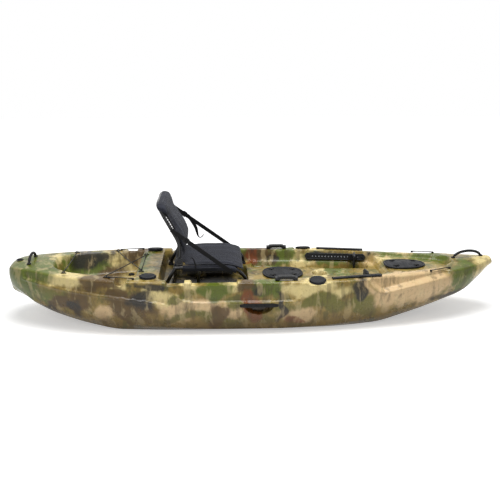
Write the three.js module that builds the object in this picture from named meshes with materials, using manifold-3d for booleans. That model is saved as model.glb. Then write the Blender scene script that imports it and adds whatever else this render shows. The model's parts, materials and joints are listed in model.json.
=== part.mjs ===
import * as THREE from 'three';
import { mergeVertices } from 'three/addons/utils/BufferGeometryUtils.js';
import Module from 'manifold-3d';

// A sit-on-top fishing kayak with a raised folding seat.
// Millimetres, +X to the bow, +Y to port, +Z up, origin under the middle of the hull.

const wasm = await Module();
wasm.setup();

// Driving dimensions
const clearance = 0.4;   // between pieces that seat on or in each other
const restGap = 1.2;     // under the cushions, off the tubes that they rest on
const freeFit = 1.6;     // across a pin that turns, or a plug that pulls out by hand
const overrun = 40;      // how far a cutter runs past the face it opens
const cornerSteps = 3;
const keptCornerShare = 0.3; // of its run that a corner keeps when its outline is drawn in
const largestRunShare = 0.49; // of an edge that one corner may take up

const hull = {
  halfLength: 1525,
  halfBeam: 400,
  sheer: 322,            // gunwale height amidships
  wall: 4.5,
  lipDrop: 14,           // height of the rounding along the gunwale
  lipRound: 16,          // its width
  tunnelDepth: 15,       // hollow between the centre keel and each pontoon
  endSolid: 26,          // the solid moulded into each tip
  endRun: 8,             // no section stands nearer to a tip than this
};

// Lines of the hull at each station: x, half beam, gunwale height, keel height, chine width
// (of the beam there), chine height, deck crown and how far the bottom is a flat pontoon.
const stationShares = [
  [-1.000, 0.125, 1.020, 0.560, 0.70, 0.760, 0.010, 0.0],
  [-0.984, 0.250, 1.085, 0.510, 0.78, 0.730, 0.020, 0.0],
  [-0.951, 0.362, 1.108, 0.420, 0.79, 0.652, 0.028, 0.0],
  [-0.885, 0.500, 1.100, 0.205, 0.80, 0.475, 0.028, 0.1],
  [-0.787, 0.675, 1.072, 0.068, 0.82, 0.351, 0.024, 0.3],
  [-0.656, 0.838, 1.042, 0.022, 0.85, 0.275, 0.020, 0.7],
  [-0.525, 0.938, 1.031, 0.000, 0.865, 0.200, 0.020, 1.0],
  [-0.328, 0.988, 1.018, 0.000, 0.87, 0.112, 0.020, 1.0],
  [-0.131, 1.000, 1.003, 0.000, 0.87, 0.068, 0.020, 1.0],
  [0.066, 1.000, 0.992, 0.000, 0.87, 0.060, 0.020, 1.0],
  [0.262, 0.962, 0.988, 0.000, 0.865, 0.086, 0.020, 1.0],
  [0.459, 0.850, 0.981, 0.006, 0.86, 0.177, 0.020, 0.9],
  [0.590, 0.750, 0.976, 0.037, 0.84, 0.286, 0.022, 0.5],
  [0.721, 0.612, 0.986, 0.112, 0.79, 0.380, 0.030, 0.2],
  [0.852, 0.412, 1.006, 0.290, 0.72, 0.500, 0.050, 0.0],
  [0.931, 0.250, 1.038, 0.600, 0.68, 0.740, 0.045, 0.0],
  [0.984, 0.112, 1.068, 0.880, 0.66, 0.930, 0.020, 0.0],
  [1.000, 0.050, 1.010, 0.915, 0.66, 0.950, 0.010, 0.0],
];
// Bottom of a section: width, rise of a vee end, rise amidships (all of the chine) and tunnel depth.
const bottomShares = [
  [0.00, 0.00, 0.00, 0], [0.28, 0.30, 0.00, 1], [0.52, 0.54, 0.00, 0],
  [0.80, 0.80, 0.00, 0], [0.93, 0.91, 0.35, 0], [1.00, 1.00, 1.00, 0],
];
// The inner skin leaves out the point nearest the chine.
const innerShares = bottomShares.filter((row, i) => i !== bottomShares.length - 2);
// Points up the side, below and above the ledge, as shares of those two runs.
const sideShares = { below: [0.45], above: [0.45] };
const sideFullness = 2.4; // power of the curve from the chine out to the gunwale
// The ledge moulded along each side: x, its height (of the sheer) and how far it stands proud
// (of the deepest step). The side runs smoothly where it has no depth.
const ledgeStep = 15;
const ledgeSlope = 1;    // least height of the step's face
const ledgeBeamShare = 0.25; // of the half beam, which the step never passes
const ledgeLowShare = 0.3; // of the run from the chine to the gunwale, below which it never drops
const ledgeEdgeShares = { below: 0.2, above: 0.5 }; // of the step's depth, either side of its line
const riseKeptShare = 0.6; // of the wall, where the inner skin follows a slope
const lipShares = { most: 0.5, corner: 0.3, drop: 0.33 }; // of the beam, and of the rounding
const ledgeShares = [
  [-1.000, 0.93, 0.0], [-0.984, 0.94, 0.0], [-0.878, 0.914, 0.4], [-0.761, 0.835, 0.45],
  [-0.546, 0.739, 0.45], [-0.357, 0.618, 0.45], [-0.350, 0.94, 0.0], [-0.281, 0.739, 0.4],
  [-0.250, 0.671, 0.4], [-0.073, 0.643, 0.4], [0.145, 0.640, 0.4], [0.156, 0.817, 0.35],
  [0.161, 0.90, 0.0], [0.432, 0.90, 0.0], [0.454, 0.814, 0.8], [0.475, 0.730, 1.0],
  [0.496, 0.699, 1.0], [0.558, 0.752, 0.8], [0.767, 0.898, 0.3], [0.785, 0.92, 0.0],
  [0.984, 0.92, 0.0], [1.000, 0.92, 0.0],
];
const deckShares = [0.5];

// Wells in the deck. Plans go from stern to bow on the port side: x and corner as shares of the
// half length and half beam, y as a share of the half beam.
const wells = {
  tank: {
    planShares: [
      [-0.823, 0.262, 0.17], [-0.754, 0.500, 0.15], [-0.587, 0.655, 0.20], [-0.471, 0.722, 0.09],
    ],
    floor: 205, draft: 34, fillet: 24,
  },
  cockpit: {
    planShares: [
      [-0.387, 0.838, 0.09], [-0.020, 0.825, 0.20], [0.216, 0.758, 0.15], [0.511, 0.608, 0.08],
      [0.535, 0.500, 0.08],
    ],
    floor: 251, draft: 14, fillet: 8,
  },
  seatTrough: {
    planShares: [[-0.341, 0.462, 0.08], [-0.030, 0.462, 0.08]],
    floor: 195, draft: 10, fillet: 10,
  },
  foredeck: {
    planShares: [
      [0.521, 0.580, 0.04], [0.656, 0.490, 0.20], [0.754, 0.365, 0.15], [0.822, 0.160, 0.14],
    ],
    floor: 297, draft: 9, fillet: 6,
  },
};
const filletShares = { fine: 0.3, plain: 0.5 }; // of a fillet, where its middle and its chamfer lie
const legChannel = {
  planShares: [
    [-0.010, 0.375, 0.08], [0.197, 0.375, 0.12], [0.308, 0.245, 0.12], [0.489, 0.225, 0.09],
    [0.502, 0.550, 0.10], [0.216, 0.700, 0.16], [-0.010, 0.750, 0.09],
  ],
  floor: 212, floorForward: 172, draft: 10, fillet: 12,
};

// Where things stand and reach: along the boat as shares of its half length, and across it as
// shares of its half beam.
const alongShares = {
  ramp: { rear: 0.5102, front: 0.5652 },
  accessory: { start: 0.3279 },
  cupHolder: { x: 0.2682 },
  scupper: { tankX: -0.5266, legX: 0.0249 },
  drain: { x: -0.96 },
  scoop: { halfWidth: 0.061 },
  sideCut: { rear: -0.3574, bumpRear: -0.2833, bumpFront: -0.261, front: -0.08 },
  paddleNotch: { x: -0.5285 },
  bowHatch: { x: 0.6275, halfLength: 0.0859 },
  centreHatch: { x: 0.1148, halfLength: 0.0839 },
  rearRod: { x: -0.4262 },
  frontRod: { x: 0.2275 },
  gearTrack: { x: 0.3869, length: 0.2033 },
  grab: { x: 0.1069 },
  footRail: { x: 0.3626, length: 0.2649 },
  pedal: { x: 0.4341 },
  bowHandle: { rear: 0.8341, front: 0.9508 },
  sternHandle: { x: -0.9102 },
  seat: {
    rear: -0.3574, shoulderRear: -0.3134, midLeg: -0.2328, shoulderFront: -0.1311, front: -0.0433,
  },
  pan: { rear: -0.3226, fallStart: -0.1311, front: -0.0538 },
  back: { hingeX: -0.3056, kneeX: -0.3069, topX: -0.3869 },
  strap: { bendX: -0.1344, lowerX: -0.0839 },
};
const acrossShares = {
  ramp: { halfWidth: 0.395 },
  scupper: { tankY: 0.445, legY: 0.6075 },
  scoop: { inner: 0.865 },
  rearRod: { y: 0.75 },
  frontRod: { y: 0.88 },
  gearTrack: { y: 0.7675 },
  grab: { y: 0.865 },
  sternHandle: { halfSpan: 0.21 },
  seat: { halfWidth: 0.5875 },
  pan: { halfWidth: 0.61 },
  back: { halfWidth: 0.52875 },
  backPad: { halfWidth: 0.515 },
};

function placed(name) {
  const lengths = (shares = {}, whole) => Object.entries(shares)
    .map(([key, share]) => [key, share * whole]);
  return Object.fromEntries([
    ...lengths(alongShares[name], hull.halfLength), ...lengths(acrossShares[name], hull.halfBeam),
  ]);
}

const ramp = placed('ramp');
const accessory = { depth: 6, halfWidth: 40, length: 88, gap: 18, corner: 10, ...placed('accessory') };

const cupHolder = { bore: 82, depth: 74, ring: 110, ringHeight: 5, ...placed('cupHolder') };
const scupper = { bore: 30, headShare: 1.35, ...placed('scupper') };
const drain = { bore: 26, dip: 5, headShare: 1.7, gripShare: 1.2, ...placed('drain') };
const drainSeat = 1;      // depth of the flat landing under the drain plug's head

const scoop = { top: 198, drop: 75, ...placed('scoop') };
const sideCut = { sill: 306, slope: 6, ...placed('sideCut') };
const paddleNotch = { radius: 36, height: 337, ...placed('paddleNotch') };

const hatchWall = {
  rim: 4, flange: 12, flangeHeight: 4, depth: 26, lid: 9, dome: 5, skirt: 3, bevelShare: 0.6,
};
const hatchSquareness = 0.8; // below 1 an oval fills out towards its corners
const hatches = {
  bow: {
    z: wells.foredeck.floor, halfWidth: 110, taperShare: 0.72, latchShare: 0.50, ...placed('bowHatch'),
  },
  centre: {
    z: wells.cockpit.floor, halfWidth: 120, taperShare: 0.95, latchShare: 0.52, ...placed('centreHatch'),
  },
};
const latch = { length: 30, width: 13, height: 9, pin: 4, innerShare: 0.86 };

const rodHolder = {
  bore: 38, wall: 2.5, length: 118, plateLong: 100, plateWide: 74, plateHeight: 5,
  capHeight: 9, hingeRadius: 4, lean: 20,
};
// Rise: of the plate over the gunwale line. Outward: the plate's tilt in degrees.
const rodPlaces = {
  rear: { rise: 6.2, outward: 8, ...placed('rearRod') },
  front: { rise: -3.3, outward: 24, ...placed('frontRod') },
};

const gearTrack = { width: 24, height: 9, slot: 9, slotDepth: 5, ...placed('gearTrack') };
const trackTurnShare = -0.7; // run inwards of the gunwale, in half beams over a half length
const grab = { length: 132, width: 26, base: 5, height: 27, bar: 9, ...placed('grab') };
const footRail = {
  height: 46, depth: 13, z: 283, hole: 9, holes: 9, screw: 18, off: 2.9, endRuns: 3,
  ...placed('footRail'),
};
const pedal = { thick: 15, width: 86, height: 98, z: 276, grip: 40, ...placed('pedal') };
const padEye = { length: 34, width: 14, base: 4, height: 15, hole: 7 };
const bungee = { diameter: 6, knot: 10 };
const keeper = { diameter: 7, eye: 15, eyeHeight: 10 };
const endHandle = { tube: 17, foot: 26, footHeight: 8 };
const bowHandle = { rise: 40, ...placed('bowHandle') };
const sternHandle = { rise: 44, ...placed('sternHandle') };
// An arched handle's line: share of the way across, and of the rise.
const archShares = [[0.06, 0.35], [0.25, 0.8], [0.5, 1], [0.75, 0.8], [0.94, 0.35]];
const sideHandle = { height: 24, thick: 7, endLength: 20, stand: 1 };

const seat = {
  tube: 22, footZ: wells.cockpit.floor, railZ: 371, padFoot: 34, padFootHeight: 12, bend: 62,
  ...placed('seat'),
};
// Parts of a bend's run where the frame's line turns, and of the tube for its lesser members.
const bendShares = { foot: 0.1667, half: 0.5, shoulder: 0.3333, drop: 0.25, nose: 0.2 };
const memberShares = { leg: 0.9, crossbar: 0.9, backBrace: 0.6667 };
const pan = { thick: 15, crown: 5, fall: 56, ...placed('pan') };
const padShares = {
  edge: 0.45,           // of a pad's thickness, kept at its seams
  panRound: 0.1,        // of the half width, drawn in at the pan's corners
  panKeep: 0.7,         // of the pan's thickness, kept at the front of its fall
  backRound: 0.1,       // of the half width, drawn in at the back's upper corners
  backRoundStart: 0.75, // of the height, where that begins
  lumbarRun: 1.15,      // a lumbar bulge reaches nothing at the top over this share
};
const padPowers = { corner: 6, bulge: 4, lumbar: 1.2 };
const back = { tube: 20, hingeZ: 410, kneeZ: 512, topZ: 760, corner: 64, ...placed('back') };
const cornerCutShare = 0.3; // of the back's corner, where its tube rounds it
const backPad = { bottom: 455, top: 752, thick: 16, lumbar: 26, ...placed('backPad') };
const bracket = { thick: 6, width: 40, top: 432 };
const pivot = { pin: 10, head: 34, headHeight: 12 };
const strap = { width: 25, thick: 2.4, upperZ: 668, lowerZ: 354, ...placed('strap') };
const buckle = { length: 34, width: 34, thick: 9, placeShare: 0.24 };

// Sides and steps that round shapes are drawn with
const facets = {
  rod: 6, cord: 6, screw: 6, pin: 8, scupper: 10, knuckle: 10, foot: 12, shaft: 12, plug: 20,
  bore: 16, head: 24, scoop: 7, notch: 10, plate: 7, latch: 4, arch: 3, hatch: 20,
};
const runs = { handle: 14, frame: 22, frameRoom: 12, backFrame: 36, cord: 2, backLine: 40 };
const grid = { pad: [13, 10], knot: [8, 5] };
const weld = 1e-4;        // points nearer than this are one point
const tensions = { tube: 0.5, back: 0.35 };

const looks = {
  camo: { color: 0x8a8457, roughness: 0.45, metalness: 0 },
  blackPlastic: { color: 0x17181a, roughness: 0.5, metalness: 0 },
  greyPlastic: { color: 0x4b4e57, roughness: 0.55, metalness: 0 },
  rubber: { color: 0x1c1c1d, roughness: 0.8, metalness: 0 },
  anodised: { color: 0x2a2c30, roughness: 0.4, metalness: 0.8 },
  powderCoat: { color: 0x151618, roughness: 0.45, metalness: 0.3 },
  fabric: { color: 0x42444d, roughness: 0.95, metalness: 0 },
  webbing: { color: 0x1b1b1e, roughness: 0.9, metalness: 0 },
  cord: { color: 0x1e1e1e, roughness: 0.85, metalness: 0 },
};

const kayak = new THREE.Group();
kayak.name = 'fishing_kayak';
const sides = { port: 1, starboard: -1 };

// Solids and meshes

// An indexed closed geometry with its faces turned outwards.
function closed(geometry) {
  const bare = geometry.clone();
  for (const name of Object.keys(bare.attributes)) if (name !== 'position') bare.deleteAttribute(name);
  const merged = mergeVertices(bare, weld);
  const p = merged.attributes.position, index = merged.index.array;
  const [a, b, c] = [new THREE.Vector3(), new THREE.Vector3(), new THREE.Vector3()];
  let volume = 0;
  for (let i = 0; i < index.length; i += 3) {
    a.fromBufferAttribute(p, index[i]);
    b.fromBufferAttribute(p, index[i + 1]);
    c.fromBufferAttribute(p, index[i + 2]);
    volume += a.dot(b.cross(c));
  }
  if (volume < 0) {
    for (let i = 0; i < index.length; i += 3) [index[i + 1], index[i + 2]] = [index[i + 2], index[i + 1]];
  }
  return merged;
}

function solid(geometry) {
  const shape = closed(geometry);
  return new wasm.Manifold(new wasm.Mesh({
    numProp: 3,
    vertProperties: new Float32Array(shape.attributes.position.array),
    triVerts: new Uint32Array(shape.index.array),
  }));
}

function surface(manifold) {
  const mesh = manifold.getMesh();
  const geometry = new THREE.BufferGeometry();
  geometry.setAttribute('position', new THREE.BufferAttribute(mesh.vertProperties, 3));
  geometry.setIndex(new THREE.BufferAttribute(mesh.triVerts, 1));
  return geometry;
}

function joined(...geometries) {
  return surface(geometries.map(solid).reduce((sum, next) => sum.add(next)));
}

function addMesh(name, geometry, look, parent = kayak) {
  const shape = closed(geometry);
  shape.computeVertexNormals();
  const mesh = new THREE.Mesh(shape, new THREE.MeshStandardMaterial({ ...looks[look], flatShading: true }));
  mesh.name = name;
  parent.add(mesh);
  return mesh;
}

// A closed solid through rings of equally many points, with a fan over each end.
function loft(rings) {
  const count = rings[0].length;
  const positions = rings.flat().flatMap((p) => [p.x, p.y, p.z]);
  const index = [];
  for (let i = 0; i + 1 < rings.length; i += 1) {
    for (let j = 0; j < count; j += 1) {
      const a = i * count + j, b = i * count + (j + 1) % count;
      index.push(a, b, b + count, a, b + count, a + count);
    }
  }
  const ends = [[rings[0], 0, true], [rings.at(-1), (rings.length - 1) * count, false]];
  for (const [ring, first, reversed] of ends) {
    const hub = positions.length / 3;
    const middle = ring.reduce((sum, p) => sum.add(p), new THREE.Vector3()).divideScalar(count);
    positions.push(middle.x, middle.y, middle.z);
    for (let j = 0; j < count; j += 1) {
      const [a, b] = [first + j, first + (j + 1) % count];
      index.push(hub, ...(reversed ? [b, a] : [a, b]));
    }
  }
  const geometry = new THREE.BufferGeometry();
  geometry.setAttribute('position', new THREE.Float32BufferAttribute(positions, 3));
  geometry.setIndex(index);
  return geometry;
}

function tube(points, diameter, count, steps) {
  const path = new THREE.CatmullRomCurve3(points, false, 'catmullrom', tensions.tube);
  const section = new THREE.Shape();
  for (let i = 0; i < count; i += 1) {
    const angle = 2 * Math.PI * (i + 0.5) / count;
    const corner = new THREE.Vector2(Math.cos(angle), Math.sin(angle)).multiplyScalar(diameter / 2);
    if (i === 0) section.moveTo(corner.x, corner.y);
    else section.lineTo(corner.x, corner.y);
  }
  section.closePath();
  return new THREE.ExtrudeGeometry(section, { steps, bevelEnabled: false, extrudePath: path });
}

function upright(diameter, height, count) {
  const geometry = new THREE.CylinderGeometry(diameter / 2, diameter / 2, height, count);
  return geometry.rotateX(Math.PI / 2);
}

function crosswise(diameter, length, count) {
  return new THREE.CylinderGeometry(diameter / 2, diameter / 2, length, count);
}

function prism(outline, depth) {
  return new THREE.ExtrudeGeometry(outline, { depth, bevelEnabled: false });
}

function box(low, high) {
  const size = high.clone().sub(low), centre = low.clone().add(high).divideScalar(2);
  return new THREE.BoxGeometry(size.x, size.y, size.z).translate(centre.x, centre.y, centre.z);
}
const at = (x, y, z) => new THREE.Vector3(x, y, z);
const radians = THREE.MathUtils.degToRad;

// Hull lines: a smooth curve through one column of the station table that never overshoots.
function lineThrough(rows, column) {
  const xs = rows.map((row) => row[0]), ys = rows.map((row) => row[column]);
  const secants = xs.slice(1).map((x, i) => (ys[i + 1] - ys[i]) / (x - xs[i]));
  const slopes = xs.map((x, i) => {
    const before = secants[i - 1], after = secants[i];
    if (before === undefined) return after;
    if (after === undefined) return before;
    return before * after <= 0 ? 0 : 2 * before * after / (before + after);
  });
  return (x) => {
    const inside = xs.slice(1, -1).filter((edge) => edge <= x);
    const i = inside.length;
    const span = xs[i + 1] - xs[i], t = (x - xs[i]) / span;
    const t2 = t * t, t3 = t2 * t;
    return (2 * t3 - 3 * t2 + 1) * ys[i] + (t3 - 2 * t2 + t) * span * slopes[i]
      + (3 * t2 - 2 * t3) * ys[i + 1] + (t3 - t2) * span * slopes[i + 1];
  };
}
const lines = {
  beam: lineThrough(stationShares, 1),
  gunwale: lineThrough(stationShares, 2),
  keel: lineThrough(stationShares, 3),
  chineWidth: lineThrough(stationShares, 4),
  chineHeight: lineThrough(stationShares, 5),
  crown: lineThrough(stationShares, 6),
  pontoon: lineThrough(stationShares, 7),
};
function straightThrough(rows, column) {
  return (x) => {
    const i = Math.max(1, rows.findIndex((row) => row[0] >= x));
    const [low, high] = [rows[i - 1], rows[i]];
    return low[column] + (high[column] - low[column]) * (x - low[0]) / (high[0] - low[0]);
  };
}
const ledge = { height: straightThrough(ledgeShares, 1), depth: straightThrough(ledgeShares, 2) };
const gunwaleAt = (x) => lines.gunwale(x / hull.halfLength) * hull.sheer;
const crownAt = (x) => lines.crown(x / hull.halfLength) * hull.sheer;
const beamAt = (x) => lines.beam(x / hull.halfLength) * hull.halfBeam;

// Half breadth of the skin at a height, from the chine up to the gunwale's rounding.
function sideLine(x) {
  const share = x / hull.halfLength, beam = beamAt(x);
  const chineY = lines.chineWidth(share) * beam, chineZ = lines.chineHeight(share) * hull.sheer;
  const shoulder = gunwaleAt(x) - hull.lipDrop;
  const above = chineZ + (shoulder - chineZ) * ledgeLowShare;
  const highest = shoulder - hull.lipDrop * lipShares.drop;
  const ledgeZ = Math.max(above, Math.min(ledge.height(share) * hull.sheer, highest));
  const depth = ledge.depth(share) * Math.min(ledgeStep, beam * ledgeBeamShare);
  const left = (z) => 1 - (z - chineZ) / (shoulder - chineZ);
  const plain = (z) => chineY + (beam - chineY) * (1 - left(z) ** sideFullness);
  const proud = (z) => plain(z) + depth * (z - chineZ) / (ledgeZ - chineZ);
  return { chineY, chineZ, shoulder, ledgeZ, depth, plain, proud };
}

// One closed section of the hull, drawn in from its skin by an inset.
function section(x, inset) {
  const share = x / hull.halfLength;
  const { chineY, chineZ, shoulder, ledgeZ, depth, plain, proud } = sideLine(x);
  const keel = lines.keel(share) * hull.sheer;
  const beam = beamAt(x) - inset, top = gunwaleAt(x) - inset;
  const rise = chineZ - keel, pontoon = lines.pontoon(share);
  const coarse = inset > 0;
  const half = (coarse ? innerShares : bottomShares).map(([width, ends, middle, hollow]) => {
    const flat = middle * (rise - inset) + hollow * hull.tunnelDepth;
    const vee = ends * (rise - inset * riseKeptShare);
    return at(x, width * (chineY - inset), keel + inset + pontoon * flat + (1 - pontoon) * vee);
  });
  const side = (z, y) => half.push(at(x, y - inset, z));
  const between = (shares, low, high) => (coarse ? [] : shares.map((up) => low + up * (high - low)));
  for (const z of between(sideShares.below, chineZ, ledgeZ)) side(z, proud(z));
  const lower = ledgeZ - depth * ledgeEdgeShares.below;
  side(lower, proud(lower));
  side(ledgeZ + depth * ledgeEdgeShares.above - inset * riseKeptShare + ledgeSlope, plain(ledgeZ));
  for (const z of between(sideShares.above, ledgeZ, shoulder)) side(z, plain(z));
  side(shoulder - inset, beam + inset);
  const lip = Math.min(hull.lipRound, beam * lipShares.most);
  if (!coarse) half.push(at(x, beam - lip * lipShares.corner, top - hull.lipDrop * lipShares.corner));
  half.push(at(x, beam - lip, top));
  for (const out of between(deckShares, 0, 1)) {
    half.push(at(x, out * (beam - lip), top + crownAt(x) * (1 - out * out)));
  }
  half.push(at(x, 0, top + crownAt(x)));
  const other = half.slice(1, -1).reverse().map((p) => at(p.x, -p.y, p.z));
  return half.concat(other);
}

function hullBody(inset) {
  const reach = hull.halfLength - (inset > 0 ? hull.endSolid + inset : 0);
  const steps = ledgeShares.map((row) => row[0] * hull.halfLength);
  const apart = stationShares.map((row) => row[0] * hull.halfLength)
    .filter((x) => steps.every((step) => Math.abs(step - x) > overrun));
  const kept = [...steps, ...apart].filter((x) => Math.abs(x) < reach - hull.endRun).sort((a, b) => a - b);
  return solid(loft([-reach, ...kept, reach].map((x) => section(x, inset))));
}

// Deck wells

// A polygon's corners rounded by short curves: each corner is x, y and the run it takes up.
function rounded(corners) {
  return corners.flatMap(([x, y, run], i) => {
    const corner = new THREE.Vector2(x, y);
    const [before, after] = [corners.at(i - 1), corners[(i + 1) % corners.length]].map(([ox, oy]) => {
      const away = new THREE.Vector2(ox, oy).sub(corner);
      return corner.clone().add(away.setLength(Math.min(run, away.length() * largestRunShare)));
    });
    return new THREE.QuadraticBezierCurve(before, corner, after).getPoints(cornerSteps);
  });
}

const inPlan = (shares) => shares.map(([x, y, run]) => [
  x * hull.halfLength, y * hull.halfBeam, run * hull.halfBeam]);
const mirrored = (half) => half.concat(half.slice().reverse().map(([x, y, run]) => [x, -y, run]));

// The corners moved outwards by a distance, square to both of their edges.
function offset(corners, distance) {
  const points = corners.map(([x, y]) => new THREE.Vector2(x, y));
  const outwards = THREE.ShapeUtils.area(points) > 0 ? 1 : -1;
  const square = (from, to) => new THREE.Vector2(to.y - from.y, from.x - to.x).setLength(outwards);
  return corners.map(([x, y, run], i) => {
    const before = square(points.at(i - 1), points[i]);
    const after = square(points[i], points[(i + 1) % points.length]);
    const reach = distance / (1 + before.dot(after));
    const corner = Math.max(run * keptCornerShare, run + distance);
    return [x + (before.x + after.x) * reach, y + (before.y + after.y) * reach, corner];
  });
}

// A moulded well: its walls lean in by the draft and meet the floor in a fillet.
function well(corners, { draft, fillet }, floorAt, grow = 0) {
  const fine = [
    { shift: -draft - fillet, rise: 0 },
    { shift: -draft - fillet * filletShares.fine, rise: fillet * filletShares.fine },
    { shift: -draft, rise: fillet },
  ];
  const plain = [{ shift: -draft - fillet * filletShares.plain, rise: 0 }];
  const levels = (grow > 0 ? plain : fine).map(({ shift, rise }) => {
    const outline = rounded(offset(corners, shift + grow));
    return outline.map((p) => at(p.x, p.y, floorAt(p.x) + rise - grow));
  });
  const top = hull.sheer + overrun;
  const lean = draft * (top - hull.sheer) / (hull.sheer - floorAt(corners[0][0]));
  const above = rounded(offset(corners, lean + grow)).map((p) => at(p.x, p.y, top));
  return solid(loft([...levels, above]));
}

const level = (height) => () => height;
function channelFloor(x) {
  const rear = scupper.legX + scupper.bore, front = legChannel.planShares[4][0] * hull.halfLength;
  const share = THREE.MathUtils.clamp((x - rear) / (front - rear), 0, 1);
  return legChannel.floor + (legChannel.floorForward - legChannel.floor) * share;
}

function deckWells(grow) {
  const cuts = Object.values(wells)
    .map((w) => well(mirrored(inPlan(w.planShares)), w, level(w.floor), grow));
  for (const side of Object.values(sides)) {
    const corners = inPlan(legChannel.planShares).map(([x, y, run]) => [x, side * y, run]);
    cuts.push(well(corners, legChannel, channelFloor, grow));
  }
  cuts.push(rampCut(grow), cupBore(grow));
  return cuts;
}

// The sloping wall in front of the feet, up to the foredeck.
function rampCut(grow) {
  const low = wells.cockpit.floor - grow, high = wells.foredeck.floor - grow;
  const profile = new THREE.Shape([
    new THREE.Vector2(ramp.rear - overrun, low), new THREE.Vector2(ramp.rear, low),
    new THREE.Vector2(ramp.front, high), new THREE.Vector2(ramp.front, hull.sheer + overrun),
    new THREE.Vector2(ramp.rear - overrun, hull.sheer + overrun),
  ]);
  const width = 2 * (ramp.halfWidth + grow);
  return solid(prism(profile, width).rotateX(Math.PI / 2).translate(0, width / 2, 0));
}

function cupBore(grow) {
  const floor = wells.cockpit.floor - cupHolder.depth - grow;
  const bore = upright(cupHolder.bore + 2 * grow, cupHolder.depth + overrun, facets.plug);
  return solid(bore.translate(cupHolder.x, 0, floor + (cupHolder.depth + overrun) / 2));
}

const scupperPlaces = Object.entries(sides).flatMap(([side, sign]) => [
  { name: `tank_${side}`, x: scupper.tankX, y: sign * scupper.tankY, z: wells.tank.floor },
  { name: `leg_${side}`, x: scupper.legX, y: sign * scupper.legY, z: channelFloor(scupper.legX) },
]);

function scupperBores(grow) {
  return scupperPlaces.map(({ x, y }) => {
    const bore = upright(scupper.bore + 2 * grow, 2 * hull.sheer, facets.scupper);
    return solid(bore.translate(x, y, hull.sheer / 2));
  });
}

// Sides

// A slab standing along the hull's side, from a half breadth outwards.
function slab(shape, inner, side) {
  const slabShape = prism(shape, hull.halfBeam + overrun - inner);
  slabShape.rotateX(Math.PI / 2).translate(0, hull.halfBeam + overrun, 0);
  return side > 0 ? slabShape : slabShape.scale(1, -1, 1);
}

function scoopCuts(grow) {
  const moon = new THREE.Shape();
  moon.absellipse(0, scoop.top, scoop.halfWidth + grow, scoop.drop + grow, Math.PI, 2 * Math.PI);
  moon.lineTo(scoop.halfWidth + grow, scoop.top + grow);
  moon.lineTo(-scoop.halfWidth - grow, scoop.top + grow);
  const shape = new THREE.Shape(moon.getPoints(facets.scoop));
  return Object.values(sides).map((side) => solid(slab(shape, scoop.inner - grow, side)));
}

function gunwaleCuts(grow) {
  const sill = sideCut.sill - grow, high = hull.sheer + overrun;
  const inner = wells.cockpit.planShares[0][1] * hull.halfBeam - overrun;
  const lowered = [[sideCut.rear, sideCut.bumpRear], [sideCut.bumpFront, sideCut.front]];
  const cuts = [];
  for (const side of Object.values(sides)) {
    for (const [rear, front] of lowered) {
      const run = new THREE.Shape([
        new THREE.Vector2(rear - grow, high), new THREE.Vector2(rear + sideCut.slope - grow, sill),
        new THREE.Vector2(front - sideCut.slope + grow, sill), new THREE.Vector2(front + grow, high),
      ]);
      cuts.push(solid(slab(run, inner, side)));
    }
    const notch = new THREE.Shape();
    notch.absarc(0, 0, paddleNotch.radius + grow, 0, 2 * Math.PI);
    const round = new THREE.Shape(notch.getPoints(facets.notch).slice(0, -1));
    cuts.push(solid(slab(round, inner, side).translate(paddleNotch.x, 0, paddleNotch.height)));
  }
  return cuts;
}

// Hatches: an oval that narrows towards the bow.
function hatchOutline({ halfLength, halfWidth, taperShare }, inset) {
  return Array.from({ length: facets.hatch }, (unused, i) => {
    const angle = 2 * Math.PI * i / facets.hatch;
    const [c, s] = [Math.cos(angle), Math.sin(angle)];
    const squared = (value) => Math.sign(value) * Math.abs(value) ** hatchSquareness;
    const narrow = 1 + (taperShare - 1) * (1 + c) / 2;
    return new THREE.Vector2((halfLength - inset) * squared(c), (halfWidth - inset) * narrow * squared(s));
  });
}

function hatchPrism(hatch, inset, low, high) {
  const shape = new THREE.Shape(hatchOutline(hatch, inset));
  return prism(shape, high - low).translate(hatch.x, 0, hatch.z + low);
}

const collarInset = hatchWall.skirt + hatchWall.flange;
function hatchOpenings() {
  return Object.values(hatches).map((hatch) => solid(
    hatchPrism(hatch, collarInset - clearance, -hatchWall.depth * 2, overrun)));
}

// Rod holders: an oval plate let into the gunwale, over a closed tube that leans aft.
function rodTurn({ outward }, side) {
  return new THREE.Euler(side * -radians(outward), 0, 0);
}

function rodFrame(place, side, geometry) {
  geometry.applyMatrix4(new THREE.Matrix4().makeRotationFromEuler(rodTurn(place, side)));
  return geometry.translate(place.x, side * place.y, place.z);
}

function rodPlate(grow, low, high) {
  const oval = new THREE.Shape();
  oval.absellipse(0, 0, rodHolder.plateLong / 2 + grow, rodHolder.plateWide / 2 + grow, 0, 2 * Math.PI);
  const shape = new THREE.Shape(oval.getPoints(facets.plate).slice(0, -1));
  return prism(shape, high - low).translate(0, 0, low);
}

function rodShaft(diameter, low, high, place, side) {
  const shaft = upright(diameter, high - low, facets.shaft).translate(0, 0, (low + high) / 2);
  shaft.rotateY(-radians(rodHolder.lean));
  return shaft.translate(place.x, side * place.y, place.z);
}

function eachRodPlace(action) {
  return Object.entries(rodPlaces).flatMap(([name, place]) => {
    const seated = { ...place, z: gunwaleAt(place.x) + place.rise };
    return Object.entries(sides).map(([sideName, side]) => action(seated, side, `${name}_${sideName}`));
  });
}

const rodOuter = rodHolder.bore + 2 * rodHolder.wall;
function rodCuts() {
  const depth = rodHolder.length + hull.wall;
  return eachRodPlace((place, side) => {
    const landing = solid(rodFrame(place, side, rodPlate(overrun / 2, 0, overrun)));
    const shaft = solid(rodShaft(rodOuter + 2 * clearance, -depth, overrun, place, side));
    return landing.add(shaft);
  });
}

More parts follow.
